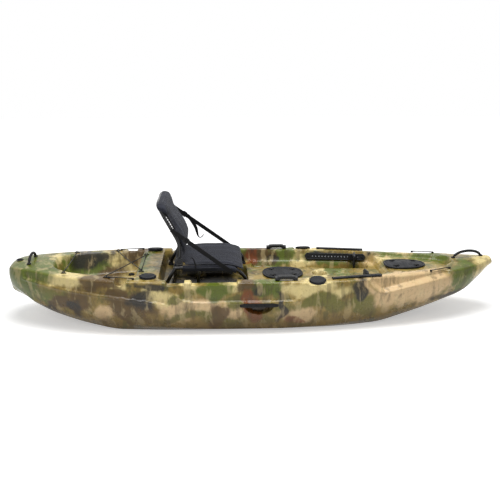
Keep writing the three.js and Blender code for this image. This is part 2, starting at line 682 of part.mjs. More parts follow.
function makeRodHolders() {
  eachRodPlace((place, side, name) => {
    const plate = solid(rodFrame(place, side, rodPlate(0, clearance, rodHolder.plateHeight)));
    const outer = solid(rodShaft(rodOuter, -rodHolder.length, rodHolder.plateHeight / 2, place, side));
    const bore = solid(rodShaft(rodHolder.bore, rodHolder.wall - rodHolder.length, overrun, place, side));
    const over = solid(rodFrame(place, side, rodPlate(overrun, rodHolder.plateHeight, overrun * 2)));
    addMesh(`rod_holder_${name}`, surface(plate.add(outer).subtract(over).subtract(bore)), 'blackPlastic');
    makeRodCap(place, side, name);
  });
}

function makeRodCap(place, side, name) {
  const base = rodHolder.plateHeight + clearance;
  const lid = rodPlate(-rodHolder.hingeRadius, base, base + rodHolder.capHeight);
  const knuckle = crosswise(2 * rodHolder.hingeRadius, rodHolder.plateWide / 3, facets.knuckle);
  knuckle.translate(rodHolder.hingeRadius - rodHolder.plateLong / 2, 0, base + rodHolder.hingeRadius);
  const cap = joined(lid, knuckle);
  addMesh(`rod_cap_${name}`, rodFrame(place, side, cap), 'greyPlastic');
}

// Hull

function drainBore(diameter) {
  const top = gunwaleAt(drain.x) + crownAt(drain.x);
  return solid(upright(diameter, overrun * 2, facets.plug).translate(drain.x, 0, top));
}

function accessoryCuts(grow) {
  return [0, 1].map((i) => {
    const rear = accessory.start + i * (accessory.length + accessory.gap) - grow;
    const front = rear + accessory.length + 2 * grow, wide = accessory.halfWidth + grow;
    const corners = [[rear, wide], [front, wide], [front, -wide], [rear, -wide]];
    const outline = rounded(corners.map(([x, y]) => [x, y, accessory.corner]));
    const cut = prism(new THREE.Shape(outline), overrun);
    return solid(cut.translate(0, 0, wells.cockpit.floor - accessory.depth - grow));
  });
}

function makeHull() {
  const minus = (from, cuts) => cuts.reduce((rest, cut) => rest.subtract(cut), from);
  const cupRing = solid(upright(cupHolder.ring, cupHolder.ringHeight * 2, facets.plug)
    .translate(cupHolder.x, 0, wells.cockpit.floor));
  const cutters = [scoopCuts, gunwaleCuts, scupperBores, accessoryCuts];
  const moulded = (grow) => cutters.flatMap((cuts) => cuts(grow));
  let skin = minus(hullBody(0), deckWells(0)).add(cupRing);
  skin = minus(skin, [cupBore(0), ...moulded(0)]);
  const inside = minus(hullBody(hull.wall), [...deckWells(hull.wall), ...moulded(hull.wall)]);
  skin = minus(skin.subtract(inside), [...hatchOpenings(), ...rodCuts(), drainBore(drain.bore)]);
  addMesh('hull', surface(skin), 'camo');
}

function makeDrainPlug() {
  const top = gunwaleAt(drain.x) + crownAt(drain.x) + drainSeat;
  const stem = upright(drain.bore - 2 * clearance, drain.bore, facets.plug);
  stem.translate(0, 0, -drain.bore / 2 + clearance);
  const head = upright(drain.bore * drain.headShare, drain.dip, facets.head);
  head.translate(0, 0, clearance + drain.dip / 2);
  const grip = new THREE.BoxGeometry(drain.bore * drain.gripShare, drain.dip, drain.dip * 2);
  grip.translate(0, 0, clearance + drain.dip);
  addMesh('drain_plug', joined(stem, head, grip), 'blackPlastic').position.set(drain.x, 0, top);
}

function makeScupperPlugs() {
  for (const { name, x, y, z } of scupperPlaces) {
    const head = upright(scupper.bore * scupper.headShare, drain.dip, facets.bore);
    head.translate(0, 0, clearance + drain.dip / 2);
    const stem = upright(scupper.bore - freeFit, scupper.bore, facets.scupper);
    stem.translate(0, 0, clearance + drain.dip / 2 - scupper.bore / 2);
    addMesh(`scupper_plug_${name}`, joined(head, stem), 'rubber').position.set(x, y, z);
  }
}

function makeHatch(name, hatch) {
  const flange = solid(hatchPrism(hatch, hatchWall.skirt, clearance, hatchWall.flangeHeight));
  const collar = solid(hatchPrism(hatch, collarInset, -hatchWall.depth, hatchWall.flangeHeight));
  const mouth = solid(hatchPrism(hatch, collarInset + hatchWall.rim, -overrun, overrun));
  addMesh(`${name}_hatch_rim`, surface(flange.add(collar).subtract(mouth)), 'blackPlastic');
  const seatZ = hatchWall.flangeHeight + clearance, top = seatZ + hatchWall.lid;
  const slope = (top - seatZ) * hatchWall.bevelShare;
  const rings = [[0, seatZ], [0, top - slope], [slope, top], [collarInset * 2, top + hatchWall.dome]]
    .map(([inset, z]) => hatchOutline(hatch, inset).map((p) => at(hatch.x + p.x, p.y, hatch.z + z)));
  let lid = solid(loft(rings));
  const spots = latchSpots(hatch);
  for (const [x, y] of spots) {
    const hole = upright(latch.pin * 2 + freeFit, overrun * 2, facets.pin);
    lid = lid.subtract(solid(hole.translate(x, y, hatch.z + seatZ)));
  }
  addMesh(`${name}_hatch_lid`, surface(lid), 'greyPlastic');
  spots.forEach(([x, y], i) => {
    makeLatch(`${name}_hatch_latch_${i + 1}`, at(x, y, hatch.z), top + hatchWall.dome, seatZ);
  });
}

// Four latches, one near each corner of the lid, at rest across the boat.
function latchSpots({ x, halfLength, halfWidth, latchShare }) {
  const reach = [halfLength * latchShare, halfWidth * latchShare];
  return [[-1, 1], [-1, -1], [1, 1], [1, -1]].map(([u, v]) => [
    x + u * reach[0], v * reach[1] * (u > 0 ? latch.innerShare : 1)]);
}

function makeLatch(name, place, top, seatZ) {
  const lever = new THREE.Shape();
  lever.absellipse(0, 0, latch.length / 2, latch.width / 2, 0, 2 * Math.PI);
  const outline = new THREE.Shape(lever.getPoints(facets.latch).slice(0, -1));
  const handle = prism(outline, latch.height).translate(0, 0, top + clearance);
  const low = seatZ + clearance, high = top + latch.height / 2;
  const pin = upright(latch.pin * 2, high - low, facets.pin).translate(0, 0, (high + low) / 2);
  addMesh(name, joined(handle, pin), 'blackPlastic').position.copy(place);
}

// Gunwale fittings

function makeGearTracks() {
  const turn = Math.atan(trackTurnShare * hull.halfBeam / hull.halfLength);
  const { length, width, height, slot, slotDepth } = gearTrack;
  const rail = solid(box(at(-length / 2, -width / 2, 0), at(length / 2, width / 2, height)));
  const opening = box(at(-length, -slot / 2, height - slotDepth), at(length, slot / 2, height + overrun));
  const throat = box(at(-length, -slot, slot / 3), at(length, slot, height - slotDepth / 2));
  const body = surface(rail.subtract(solid(opening)).subtract(solid(throat)));
  const seats = [-0.5, 0, 0.5].map((share) => {
    const [x, y] = [gearTrack.x + share * length, gearTrack.y + share * length * Math.tan(turn)];
    return deckPoint(x, y - width / 2).z;
  });
  for (const [side, sign] of Object.entries(sides)) {
    const track = addMesh(`gear_track_${side}`, body, 'anodised');
    track.position.set(gearTrack.x, sign * gearTrack.y, Math.max(...seats) - 2 * clearance);
    track.rotation.z = sign * turn;
  }
}

// Height of the crowned deck over the gunwale, at a place x, y, and the gap that seats a fitting on it.
function deckRise(x, y) {
  const share = Math.abs(y) / (beamAt(x) - hull.lipRound);
  return crownAt(x) * Math.max(0, 1 - share * share) + clearance * 2;
}

function makeGrabs() {
  const { length, width, base, height, bar } = grab;
  const outer = new THREE.Shape([
    new THREE.Vector2(-length / 2, 0), new THREE.Vector2(length / 2, 0),
    new THREE.Vector2(length / 2, base), new THREE.Vector2(length / 2 - height, height),
    new THREE.Vector2(height - length / 2, height), new THREE.Vector2(-length / 2, base),
  ]);
  const gap = new THREE.Shape([
    new THREE.Vector2(height - length / 2, base), new THREE.Vector2(length / 2 - height, base),
    new THREE.Vector2(length / 2 - height - bar / 2, height - bar),
    new THREE.Vector2(height + bar / 2 - length / 2, height - bar),
  ]);
  const standing = (shape, depth) => solid(
    prism(shape, depth).translate(0, 0, -depth / 2).rotateX(Math.PI / 2));
  const handle = surface(standing(outer, width).subtract(standing(gap, 2 * width)));
  for (const [side, sign] of Object.entries(sides)) {
    addMesh(`grab_handle_${side}`, handle, 'blackPlastic')
      .position.set(grab.x, sign * grab.y, gunwaleAt(grab.x) + deckRise(grab.x, grab.y));
  }
}

// The cockpit's wall along the foot rail, between two corners of the well's plan.
function railLine() {
  const [rear, front] = [wells.cockpit.planShares[2], wells.cockpit.planShares[3]];
  const [a, b] = [rear, front].map(([x, y]) => new THREE.Vector2(x * hull.halfLength, y * hull.halfBeam));
  const slope = (b.y - a.y) / (b.x - a.x);
  const rise = (footRail.z - wells.cockpit.floor) / (gunwaleAt(footRail.x) - wells.cockpit.floor);
  const lean = wells.cockpit.draft * (1 - rise);
  return { y: a.y + slope * (footRail.x - a.x) - lean, turn: Math.atan(slope) };
}

function makeFootBraces() {
  const { y, turn } = railLine();
  const { length, height, depth, hole, holes, screw, endRuns } = footRail;
  const lean = Math.atan(wells.cockpit.draft / (gunwaleAt(footRail.x) - wells.cockpit.floor));
  const round = (diameter, x, out) => solid(crosswise(diameter, depth, facets.screw).translate(x, out, 0));
  let rail = solid(box(at(-length / 2, -depth / 2, -height / 2), at(length / 2, depth / 2, height / 2)));
  for (let i = 0; i < holes; i += 1) {
    const x = (i - (holes - 1) / 2) * (length - endRuns * height) / (holes - 1);
    rail = rail.subtract(round(hole, x, -depth / 2));
  }
  for (const end of [-1, 1]) rail = rail.add(round(screw, end * (length - height) / 2, -depth / 4));
  for (const [side, sign] of Object.entries(sides)) {
    const place = (geometry) => geometry.rotateX(-lean).rotateZ(turn)
      .translate(footRail.x, y - depth / 2 - footRail.off, footRail.z).scale(1, sign, 1);
    addMesh(`foot_rail_${side}`, place(surface(rail)), 'blackPlastic');
    makePedal(side, place);
  }
}

function makePedal(side, place) {
  const { thick, width, height, grip } = pedal;
  const face = footRail.depth / 2 + clearance;
  const x = pedal.x - footRail.x, z = pedal.z - footRail.z;
  const plate = box(
    at(x, -face - width, z - height / 2), at(x + thick, -face - clearance, z + height / 2));
  const slider = box(at(x - grip / 2, -face - grip / 3, -footRail.height / 2),
    at(x + grip, -face, footRail.height / 2));
  const rib = new THREE.Shape([
    new THREE.Vector2(x, -face - grip / 4), new THREE.Vector2(x + grip, -face - grip / 4),
    new THREE.Vector2(x + thick, -face - width), new THREE.Vector2(x, -face - width),
  ]);
  const web = prism(rib, thick).translate(0, 0, -thick / 2);
  addMesh(`foot_pedal_${side}`, place(joined(plate, slider, web)), 'blackPlastic');
}

// Deck cords and pad eyes

const eyeShares = [[-0.757, 0.560], [-0.587, 0.720], [-0.459, 0.460]];
const eyePlaces = eyeShares.map(([x, y]) => {
  const [px, py] = [x * hull.halfLength, y * hull.halfBeam];
  return at(px, py, gunwaleAt(px) + deckRise(px, py));
});

function makePadEyes() {
  const { length, width, base, height, hole } = padEye;
  const foot = box(at(-length / 2, -width / 2, 0), at(length / 2, width / 2, base));
  const outline = new THREE.Shape();
  outline.absarc(0, height - hole, hole, 0, Math.PI);
  outline.lineTo(-hole, base / 2);
  outline.lineTo(hole, base / 2);
  const bridge = prism(new THREE.Shape(outline.getPoints(facets.arch)), width / 2);
  bridge.translate(0, 0, -width / 4).rotateX(Math.PI / 2);
  const through = crosswise(hole, width * 2, facets.cord).translate(0, 0, height - hole);
  const eye = surface(solid(foot).add(solid(bridge)).subtract(solid(through)));
  eyePlaces.forEach((place, i) => {
    for (const [side, sign] of Object.entries(sides)) {
      const mesh = addMesh(`pad_eye_${i + 1}_${side}`, eye, 'blackPlastic');
      mesh.position.set(place.x, sign * place.y, place.z);
    }
  });
}

// Shock cord over the tank well: one strand across the stern pair of eyes, and a lace that crosses
// from the middle pair to the front pair and runs between those two.
function makeTankCords() {
  const reach = (padEye.length + bungee.knot) / 2;
  const hooks = eyePlaces.map((p) => at(p.x, p.y - reach, p.z + bungee.knot / 2));
  const [rear, middle, front] = hooks;
  const starboard = (p) => at(p.x, -p.y, p.z);
  const cord = ([from, to]) => {
    const middle = from.clone().add(to).divideScalar(2);
    return tube([from, middle, to], bungee.diameter, facets.cord, runs.cord);
  };
  const knot = (p) => new THREE.SphereGeometry(bungee.knot / 2, ...grid.knot).translate(p.x, p.y, p.z);
  const lace = (name, lengths) => {
    addMesh(name, joined(...lengths.map(cord), ...lengths.flat().map(knot)), 'cord');
  };
  lace('bungee_rear', [[rear, starboard(rear)]]);
  lace('bungee_lace', [[middle, starboard(front)], [starboard(middle), front], [front, starboard(front)]]);
}

const keeperShares = {
  rear: [[-0.574, 0.755], [-0.481, 0.822]],
  front: [[0.698, 0.540], [0.782, 0.435]],
};
function makePaddleKeepers() {
  for (const [place, ends] of Object.entries(keeperShares)) {
    for (const [side, sign] of Object.entries(sides)) {
      const posts = ends.map(([x, y]) => {
        const [px, py] = [x * hull.halfLength, y * hull.halfBeam];
        return at(px, sign * py, gunwaleAt(px) + deckRise(px, py));
      });
      const pieces = posts.map((p) => upright(keeper.eye, keeper.eyeHeight, facets.pin)
        .translate(p.x, p.y, p.z + keeper.eyeHeight / 2));
      const [a, b] = posts.map((p) => p.clone().setZ(p.z + keeper.eyeHeight - keeper.diameter / 2));
      const middle = a.clone().add(b).divideScalar(2);
      pieces.push(tube([a, middle, b], keeper.diameter, facets.cord, runs.cord));
      addMesh(`paddle_keeper_${place}_${side}`, joined(...pieces), 'rubber');
    }
  }
}

// Carry handles

function handleArch(name, feet, rise) {
  const [a, b] = feet;
  const up = (share, height) => a.clone().lerp(b, share).add(at(0, 0, height));
  const lift = endHandle.footHeight;
  const arch = archShares.map(([share, high]) => up(share, lift + rise * high));
  const path = [up(0, lift / 2), ...arch, up(1, lift / 2)];
  const pads = feet.map((p) => upright(endHandle.foot, endHandle.footHeight, facets.foot)
    .translate(p.x, p.y, p.z + endHandle.footHeight / 2));
  addMesh(name, joined(tube(path, endHandle.tube, facets.pin, runs.handle), ...pads), 'rubber');
}

function deckPoint(x, y) {
  return at(x, y, gunwaleAt(x) + deckRise(x, y));
}

function makeEndHandles() {
  handleArch('bow_handle', [deckPoint(bowHandle.rear, 0), deckPoint(bowHandle.front, 0)],
    bowHandle.rise - endHandle.footHeight);
  const feet = [1, -1].map((side) => deckPoint(sternHandle.x, side * sternHandle.halfSpan));
  handleArch('stern_handle', feet, sternHandle.rise - endHandle.footHeight);
}

function sideSkin(x, z) {
  const ring = section(x, 0).filter((p) => p.y > 0);
  for (let i = 0; i + 1 < ring.length; i += 1) {
    const [low, high] = [ring[i], ring[i + 1]];
    if (low.z <= z && high.z > z) return low.y + (high.y - low.y) * (z - low.z) / (high.z - low.z);
  }
  return beamAt(x);
}

// A rubber strap over each side scoop, screwed down at both ends.
function makeSideHandles() {
  const { height, thick, endLength, stand } = sideHandle;
  const low = scoop.top - height, reach = scoop.halfWidth + endLength, free = scoop.halfWidth - endLength;
  const out = sideSkin(0, scoop.top) + clearance;
  const outline = new THREE.Shape([
    new THREE.Vector2(-reach, out), new THREE.Vector2(-scoop.halfWidth, out),
    new THREE.Vector2(-free, out + stand), new THREE.Vector2(free, out + stand),
    new THREE.Vector2(scoop.halfWidth, out), new THREE.Vector2(reach, out),
    new THREE.Vector2(reach, out + thick / 2), new THREE.Vector2(scoop.halfWidth, out + thick),
    new THREE.Vector2(-scoop.halfWidth, out + thick), new THREE.Vector2(-reach, out + thick / 2),
  ]);
  for (const [side, sign] of Object.entries(sides)) {
    const band = prism(outline, height).translate(0, 0, low);
    addMesh(`side_handle_${side}`, band.scale(1, sign, 1), 'rubber');
  }
}

// Seat

// The front of a frame side in x and z, from the rail over its bend down to the foot.
function frontBend() {
  const { front, bend, railZ } = seat;
  return [
    [seat.shoulderFront, railZ], [front - bend, railZ - bend * bendShares.drop],
    [front - bend * bendShares.nose, railZ - bend], [front, seat.footZ + seat.padFootHeight],
  ];
}

function rearBend() {
  const { rear, bend, railZ, shoulderRear } = seat;
  const footTop = seat.footZ + seat.padFootHeight;
  return [
    [rear, footTop], [rear + bend * bendShares.foot, footTop + bend * bendShares.half],
    [shoulderRear - bend * bendShares.shoulder, railZ - bend * bendShares.drop], [shoulderRear, railZ],
  ];
}

// One side of the frame: its bent tube, middle leg and three feet.
function frameSide(y) {
  const { tube: size, railZ, footZ, padFootHeight } = seat;
  const legHeight = railZ - footZ - padFootHeight;
  const path = [...rearBend(), [seat.midLeg, railZ], ...frontBend()].map(([x, z]) => at(x, y, z));
  const leg = upright(size * memberShares.leg, legHeight, facets.rod);
  leg.translate(seat.midLeg, y, railZ - legHeight / 2);
  const footMiddle = footZ + clearance + padFootHeight / 2;
  const foot = (x) => upright(seat.padFoot, padFootHeight, facets.foot).translate(x, y, footMiddle);
  return [tube(path, size, facets.rod, runs.frame), leg, ...[seat.rear, seat.midLeg, seat.front].map(foot)];
}

// The plate on a rail that the seat back's pivot passes through, with its inner face given.
function pivotBracket(side) {
  const inner = side * (back.halfWidth + back.tube / 2 + clearance), outer = inner + side * bracket.thick;
  const x = back.hingeX, wide = bracket.width / 2;
  return box(
    at(x - wide, Math.min(inner, outer), seat.railZ), at(x + wide, Math.max(inner, outer), bracket.top));
}

const pivotBore = () => crosswise(pivot.pin + 2 * clearance, 2 * hull.halfBeam, facets.bore)
  .translate(back.hingeX, 0, back.hingeZ);

function makeSeatFrame() {
  const { railZ, bend, halfWidth } = seat;
  const pieces = Object.values(sides)
    .flatMap((side) => [...frameSide(side * halfWidth), pivotBracket(side)]);
  const footTop = seat.footZ + seat.padFootHeight;
  const crossbars = [
    [seat.shoulderRear, railZ], [seat.midLeg, footTop + bend * bendShares.half],
    [seat.front - bend, railZ - bend * bendShares.drop],
  ];
  for (const [x, z] of crossbars) {
    pieces.push(crosswise(seat.tube * memberShares.crossbar, 2 * halfWidth, facets.rod).translate(x, 0, z));
  }
  addMesh('seat_frame', surface(solid(joined(...pieces)).subtract(solid(pivotBore()))), 'powderCoat');
}

// A sewn pad as a closed sheet: a grid of points over its middle surface, full in the middle.
function padSolid(middle) {
  const [nu, nv] = grid.pad;
  const positions = [], index = [];
  const faces = [1, -1];
  for (const face of faces) {
    for (let i = 0; i <= nu; i += 1) {
      for (let j = 0; j <= nv; j += 1) {
        const p = middle(i / nu, j / nv * 2 - 1, face);
        positions.push(p.x, p.y, p.z);
      }
    }
  }
  const row = nv + 1, other = (nu + 1) * row;
  const quad = (a, b, c, d) => index.push(a, b, c, a, c, d);
  for (let i = 0; i < nu; i += 1) {
    for (let j = 0; j < nv; j += 1) {
      const a = i * row + j;
      quad(a, a + row, a + row + 1, a + 1);
      quad(other + a, other + a + 1, other + a + row + 1, other + a + row);
    }
  }
  for (let i = 0; i < nu; i += 1) {
    const [a, b] = [i * row, i * row + nv];
    quad(a, other + a, other + a + row, a + row);
    quad(b, b + row, other + b + row, other + b);
  }
  for (let j = 0; j < nv; j += 1) {
    const [a, b] = [j, nu * row + j];
    quad(a, a + 1, other + a + 1, other + a);
    quad(b, other + b, other + b + 1, b + 1);
  }
  const geometry = new THREE.BufferGeometry();
  geometry.setAttribute('position', new THREE.Float32BufferAttribute(positions, 3));
  geometry.setIndex(index);
  return geometry;
}

const bulge = (u, v) => (1 - (2 * u - 1) ** padPowers.bulge) * (1 - v ** padPowers.bulge);
const padDepth = (thick, u, v) => thick * THREE.MathUtils.lerp(padShares.edge, 1, bulge(u, v));

// The pan lies on the frame's rails and falls away over the front bend.
function makeSeatPan() {
  const under = seat.railZ + seat.tube / 2 + restGap;
  const shape = (u, v, face) => {
    const x = pan.rear + u * (pan.front - pan.rear);
    const round = 1 - padShares.panRound * Math.abs(v * (2 * u - 1)) ** padPowers.corner;
    const past = Math.max(0, (x - pan.fallStart) / (pan.front - pan.fallStart));
    const fall = pan.fall * past * past;
    const thick = padDepth(pan.thick, u, v) + pan.crown * bulge(u, v);
    const keep = THREE.MathUtils.lerp(1, padShares.panKeep, past);
    return at(x, v * pan.halfWidth * round, under - fall * keep + (face > 0 ? thick : 0));
  };
  addMesh('seat_pan', surface(solid(padSolid(shape)).subtract(frameRoom())), 'fabric');
}

// Room for the frame's front bends and brackets under and beside the pan.
function frameRoom() {
  const size = seat.tube + freeFit, y = seat.halfWidth;
  const pieces = [];
  for (const side of Object.values(sides)) {
    const path = [[seat.midLeg, seat.railZ], ...frontBend()].map(([x, z]) => at(x, side * y, z));
    pieces.push(tube(path, size, facets.rod, runs.frameRoom));
    const inner = side * (back.halfWidth - back.tube), outer = side * (seat.halfWidth + seat.tube * 2);
    const wide = bracket.width / 2 + clearance * 2;
    pieces.push(box(at(back.hingeX - wide, Math.min(inner, outer), seat.railZ - seat.tube),
      at(back.hingeX + wide, Math.max(inner, outer), bracket.top + overrun)));
  }
  const drop = seat.bend * bendShares.drop;
  const nose = crosswise(size, 2 * y, facets.knuckle);
  pieces.push(nose.translate(seat.front - seat.bend, 0, seat.railZ - drop));
  return solid(joined(...pieces));
}

const backLine = new THREE.CatmullRomCurve3([
  at(back.hingeX, 0, back.hingeZ), at(back.kneeX, 0, back.kneeZ), at(back.topX, 0, back.topZ),
], false, 'catmullrom', tensions.back);
function backX(z) {
  const points = backLine.getPoints(runs.backLine);
  const i = Math.max(1, points.findIndex((p) => p.z >= z));
  const [low, high] = [points[i - 1], points[i]];
  return low.x + (high.x - low.x) * (z - low.z) / (high.z - low.z);
}

// A bow of tube over the back, with an eye on each pivot and a brace at the knee.
function makeBackFrame() {
  const { halfWidth, hingeX, hingeZ, kneeX, kneeZ, topX, topZ, corner } = back;
  const cornerZ = topZ - corner, middleZ = (kneeZ + cornerZ) / 2, cut = corner * cornerCutShare;
  const side = [[hingeX, hingeZ], [kneeX, kneeZ], [backX(middleZ), middleZ], [backX(cornerZ), cornerZ]];
  const half = side.map(([x, z]) => at(x, halfWidth, z));
  half.push(at(backX(topZ - cut), halfWidth - cut, topZ - cut), at(topX, halfWidth - corner, topZ));
  const other = half.map((p) => at(p.x, -p.y, p.z)).reverse();
  const bow = tube([...half, at(topX, 0, topZ), ...other], back.tube, facets.rod, runs.backFrame);
  const eyes = Object.values(sides).map((sign) => crosswise(back.tube, back.tube, facets.bore)
    .translate(hingeX, sign * halfWidth, hingeZ));
  const brace = crosswise(back.tube * memberShares.backBrace, 2 * halfWidth, facets.pin)
    .translate(backX(kneeZ), 0, kneeZ);
  const bored = solid(joined(bow, ...eyes, brace)).subtract(solid(pivotBore()));
  addMesh('seat_back_frame', surface(bored), 'powderCoat');
}

function makeBackPad() {
  const { bottom, top, halfWidth, thick, lumbar } = backPad;
  const lip = back.tube / 2 + restGap;
  const start = padShares.backRoundStart;
  const shape = (u, v, face) => {
    const z = bottom + u * (top - bottom);
    const past = Math.max(0, (u - start) / (1 - start));
    const round = 1 - padShares.backRound * past ** 2 * Math.abs(v);
    const swell = Math.sin(Math.PI * Math.min(1, u * padShares.lumbarRun)) ** padPowers.lumbar;
    const depth = padDepth(thick, u, v) + lumbar * swell * (1 - v ** padPowers.bulge);
    return at(backX(z) + lip + (face > 0 ? depth : 0), v * halfWidth * round, z);
  };
  addMesh('seat_back_pad', padSolid(shape), 'fabric');
}

function makePivots() {
  const inner = back.halfWidth - back.tube / 2;
  const outer = back.halfWidth + back.tube / 2 + clearance * 2 + bracket.thick;
  const end = outer + pivot.headHeight / 2;
  for (const [side, sign] of Object.entries(sides)) {
    const pin = crosswise(pivot.pin, end - inner, facets.bore).translate(0, (end + inner) / 2, 0);
    const head = crosswise(pivot.head, pivot.headHeight, facets.plug).translate(0, end, 0);
    addMesh(`seat_pivot_${side}`, joined(pin, head).scale(1, sign, 1), 'blackPlastic')
      .position.set(back.hingeX, 0, back.hingeZ);
  }
}

// Webbing on edge: from the side of the back frame out past the pan, then along the frame's bend.
function makeStraps() {
  const away = clearance + strap.thick / 2, lowerY = seat.halfWidth + seat.tube / 2 + away;
  const top = at(backX(strap.upperZ), back.halfWidth + back.tube / 2 + away, strap.upperZ);
  const bottom = at(strap.lowerX, lowerY, strap.lowerZ);
  const bend = top.clone().lerp(bottom, (strap.bendX - top.x) / (bottom.x - top.x)).setY(lowerY);
  const across = at(top.z - bottom.z, 0, bottom.x - top.x).normalize();
  const band = (points, width, thick) => loft(points.map((p) => [[1, 1], [1, -1], [-1, -1], [-1, 1]]
    .map(([u, v]) => p.clone().addScaledVector(across, u * width / 2).add(at(0, v * thick / 2, 0)))));
  const start = top.clone().lerp(bend, buckle.placeShare);
  const end = start.clone().add(bend.clone().sub(top).setLength(buckle.length));
  const gap = 2 * clearance;
  for (const [side, sign] of Object.entries(sides)) {
    const body = solid(band([start, end], buckle.width, buckle.thick));
    const slot = solid(band([top, bend, bottom], strap.width + gap, strap.thick + gap));
    addMesh(`strap_buckle_${side}`, surface(body.subtract(slot)).scale(1, sign, 1), 'blackPlastic');
    const webbing = band([top, bend, bottom], strap.width, strap.thick);
    addMesh(`seat_strap_${side}`, webbing.scale(1, sign, 1), 'webbing');
  }
}

makeHull();
makeDrainPlug();
makeScupperPlugs();
for (const [name, hatch] of Object.entries(hatches)) makeHatch(name, hatch);
makeRodHolders();
makeGearTracks();
makeGrabs();
makeFootBraces();
makePadEyes();
makeTankCords();
makePaddleKeepers();
makeEndHandles();
makeSideHandles();
makeSeatFrame();
makeSeatPan();
makeBackFrame();
makeBackPad();
makePivots();
makeStraps();

export default kayak;
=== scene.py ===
import json
import math

import bpy
import numpy as np
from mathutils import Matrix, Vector
from mathutils.bvhtree import BVHTree


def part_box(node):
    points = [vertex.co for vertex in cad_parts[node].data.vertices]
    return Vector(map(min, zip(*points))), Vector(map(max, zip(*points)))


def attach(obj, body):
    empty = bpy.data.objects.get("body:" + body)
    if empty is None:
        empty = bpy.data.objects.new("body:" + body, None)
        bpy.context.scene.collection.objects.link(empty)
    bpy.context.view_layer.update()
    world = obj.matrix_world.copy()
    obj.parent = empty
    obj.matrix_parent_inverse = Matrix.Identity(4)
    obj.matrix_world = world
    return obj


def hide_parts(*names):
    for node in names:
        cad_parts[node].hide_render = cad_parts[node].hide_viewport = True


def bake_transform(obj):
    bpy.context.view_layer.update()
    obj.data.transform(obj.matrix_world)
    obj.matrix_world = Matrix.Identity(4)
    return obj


# Sit-on-top fishing kayak: metres, +X to the bow, +Y to port, +Z up.

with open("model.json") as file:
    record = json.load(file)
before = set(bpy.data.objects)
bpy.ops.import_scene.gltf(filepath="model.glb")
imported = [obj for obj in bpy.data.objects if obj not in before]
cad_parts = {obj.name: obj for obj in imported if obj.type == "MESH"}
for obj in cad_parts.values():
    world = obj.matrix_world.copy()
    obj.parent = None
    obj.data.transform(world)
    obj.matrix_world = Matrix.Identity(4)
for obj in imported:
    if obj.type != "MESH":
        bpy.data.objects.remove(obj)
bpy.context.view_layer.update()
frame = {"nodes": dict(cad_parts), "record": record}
sides = {"port": 1, "starboard": -1}


# Camera and light

cameraSpec = {"place": (-0.253, -4.24, 1.601), "target": (-0.033, 0.0, 0.41), "lens": 50.4, "sensor": 36.0}


# A camera at a place, turned to look at its target.
def addCamera(spec):
    data = bpy.data.cameras.new("camera")
    data.lens, data.sensor_width, data.clip_end = spec["lens"], spec["sensor"], 60
    obj = bpy.data.objects.new("camera", data)
    bpy.context.scene.collection.objects.link(obj)
    obj.location = spec["place"]
    aim = Vector(spec["target"]) - Vector(spec["place"])
    obj.rotation_euler = aim.to_track_quat("-Z", "Y").to_euler()
    bpy.context.scene.camera = obj


addCamera(cameraSpec)


# Small tools

# A hex colour's parts as linear light, opaque.
def linearColour(text):
    values = [int(text[i:i + 2], 16) / 255 for i in (1, 3, 5)]
    return [v / 12.92 if v <= 0.04045 else ((v + 0.055) / 1.055) ** 2.4 for v in values] + [1.0]


# Soft step from 0 to 1 as value goes from low to high.
def softStep(low, high, value):
    t = np.clip((value - low) / (high - low), 0, 1)
    return t * t * (3 - 2 * t)


# A value's size raised to a power, its sign kept: below 1 the power turns a circle into a rounded box.
def squared(value, power):
    return np.sign(value) * np.abs(value) ** power


# A straight ramp from 0 to 1 with both ends rounded; the shares say how much of it is rounding.
def roundedRamp(t, start, end):
    t = np.clip(t, 0, 1)
    slope = 1 / (1 - (start + end) / 2)
    low = slope * t * t / (2 * start)
    mid = slope * (t - start / 2)
    high = 1 - slope * (1 - t) ** 2 / (2 * end)
    return np.where(t < start, low, np.where(t > 1 - end, high, mid))


# A smooth curve through one column of a table that never overshoots.
def curveThrough(rows, column):
    xs = np.array([row[0] for row in rows], float)
    ys = np.array([row[column] for row in rows], float)
    secants = np.diff(ys) / np.diff(xs)
    slopes = np.zeros(len(xs))
    slopes[0], slopes[-1] = secants[0], secants[-1]
    product = secants[:-1] * secants[1:]
    total = secants[:-1] + secants[1:]
    slopes[1:-1] = np.where(product > 0, 2 * product / np.where(total == 0, 1, total), 0)

    def value(x):
        i = np.clip(np.searchsorted(xs, x, side="right") - 1, 0, len(xs) - 2)
        span = xs[i + 1] - xs[i]
        t = (x - xs[i]) / span
        t2, t3 = t * t, t * t * t
        return ((2 * t3 - 3 * t2 + 1) * ys[i] + (t3 - 2 * t2 + t) * span * slopes[i]
                + (3 * t2 - 2 * t3) * ys[i + 1] + (t3 - t2) * span * slopes[i + 1])
    return value


# Distance inside a closed outline, negative outside it.
def insideDistance(outline, x, y):
    a = np.asarray(outline, float)
    b = np.roll(a, -1, axis=0)
    best = np.full(np.broadcast(x, y).shape, 1e9)
    odd = np.zeros(best.shape, bool)
    for (ax, ay), (bx, by) in zip(a, b):
        ex, ey = bx - ax, by - ay
        px, py = x - ax, y - ay
        t = np.clip((px * ex + py * ey) / (ex * ex + ey * ey), 0, 1)
        best = np.minimum(best, (px - t * ex) ** 2 + (py - t * ey) ** 2)
        crosses = (ay > y) != (by > y)
        at = ax + (y - ay) * ex / (ey if ey != 0 else 1e-12)
        odd ^= crosses & (x < at)
    return np.where(odd, 1, -1) * np.sqrt(best)


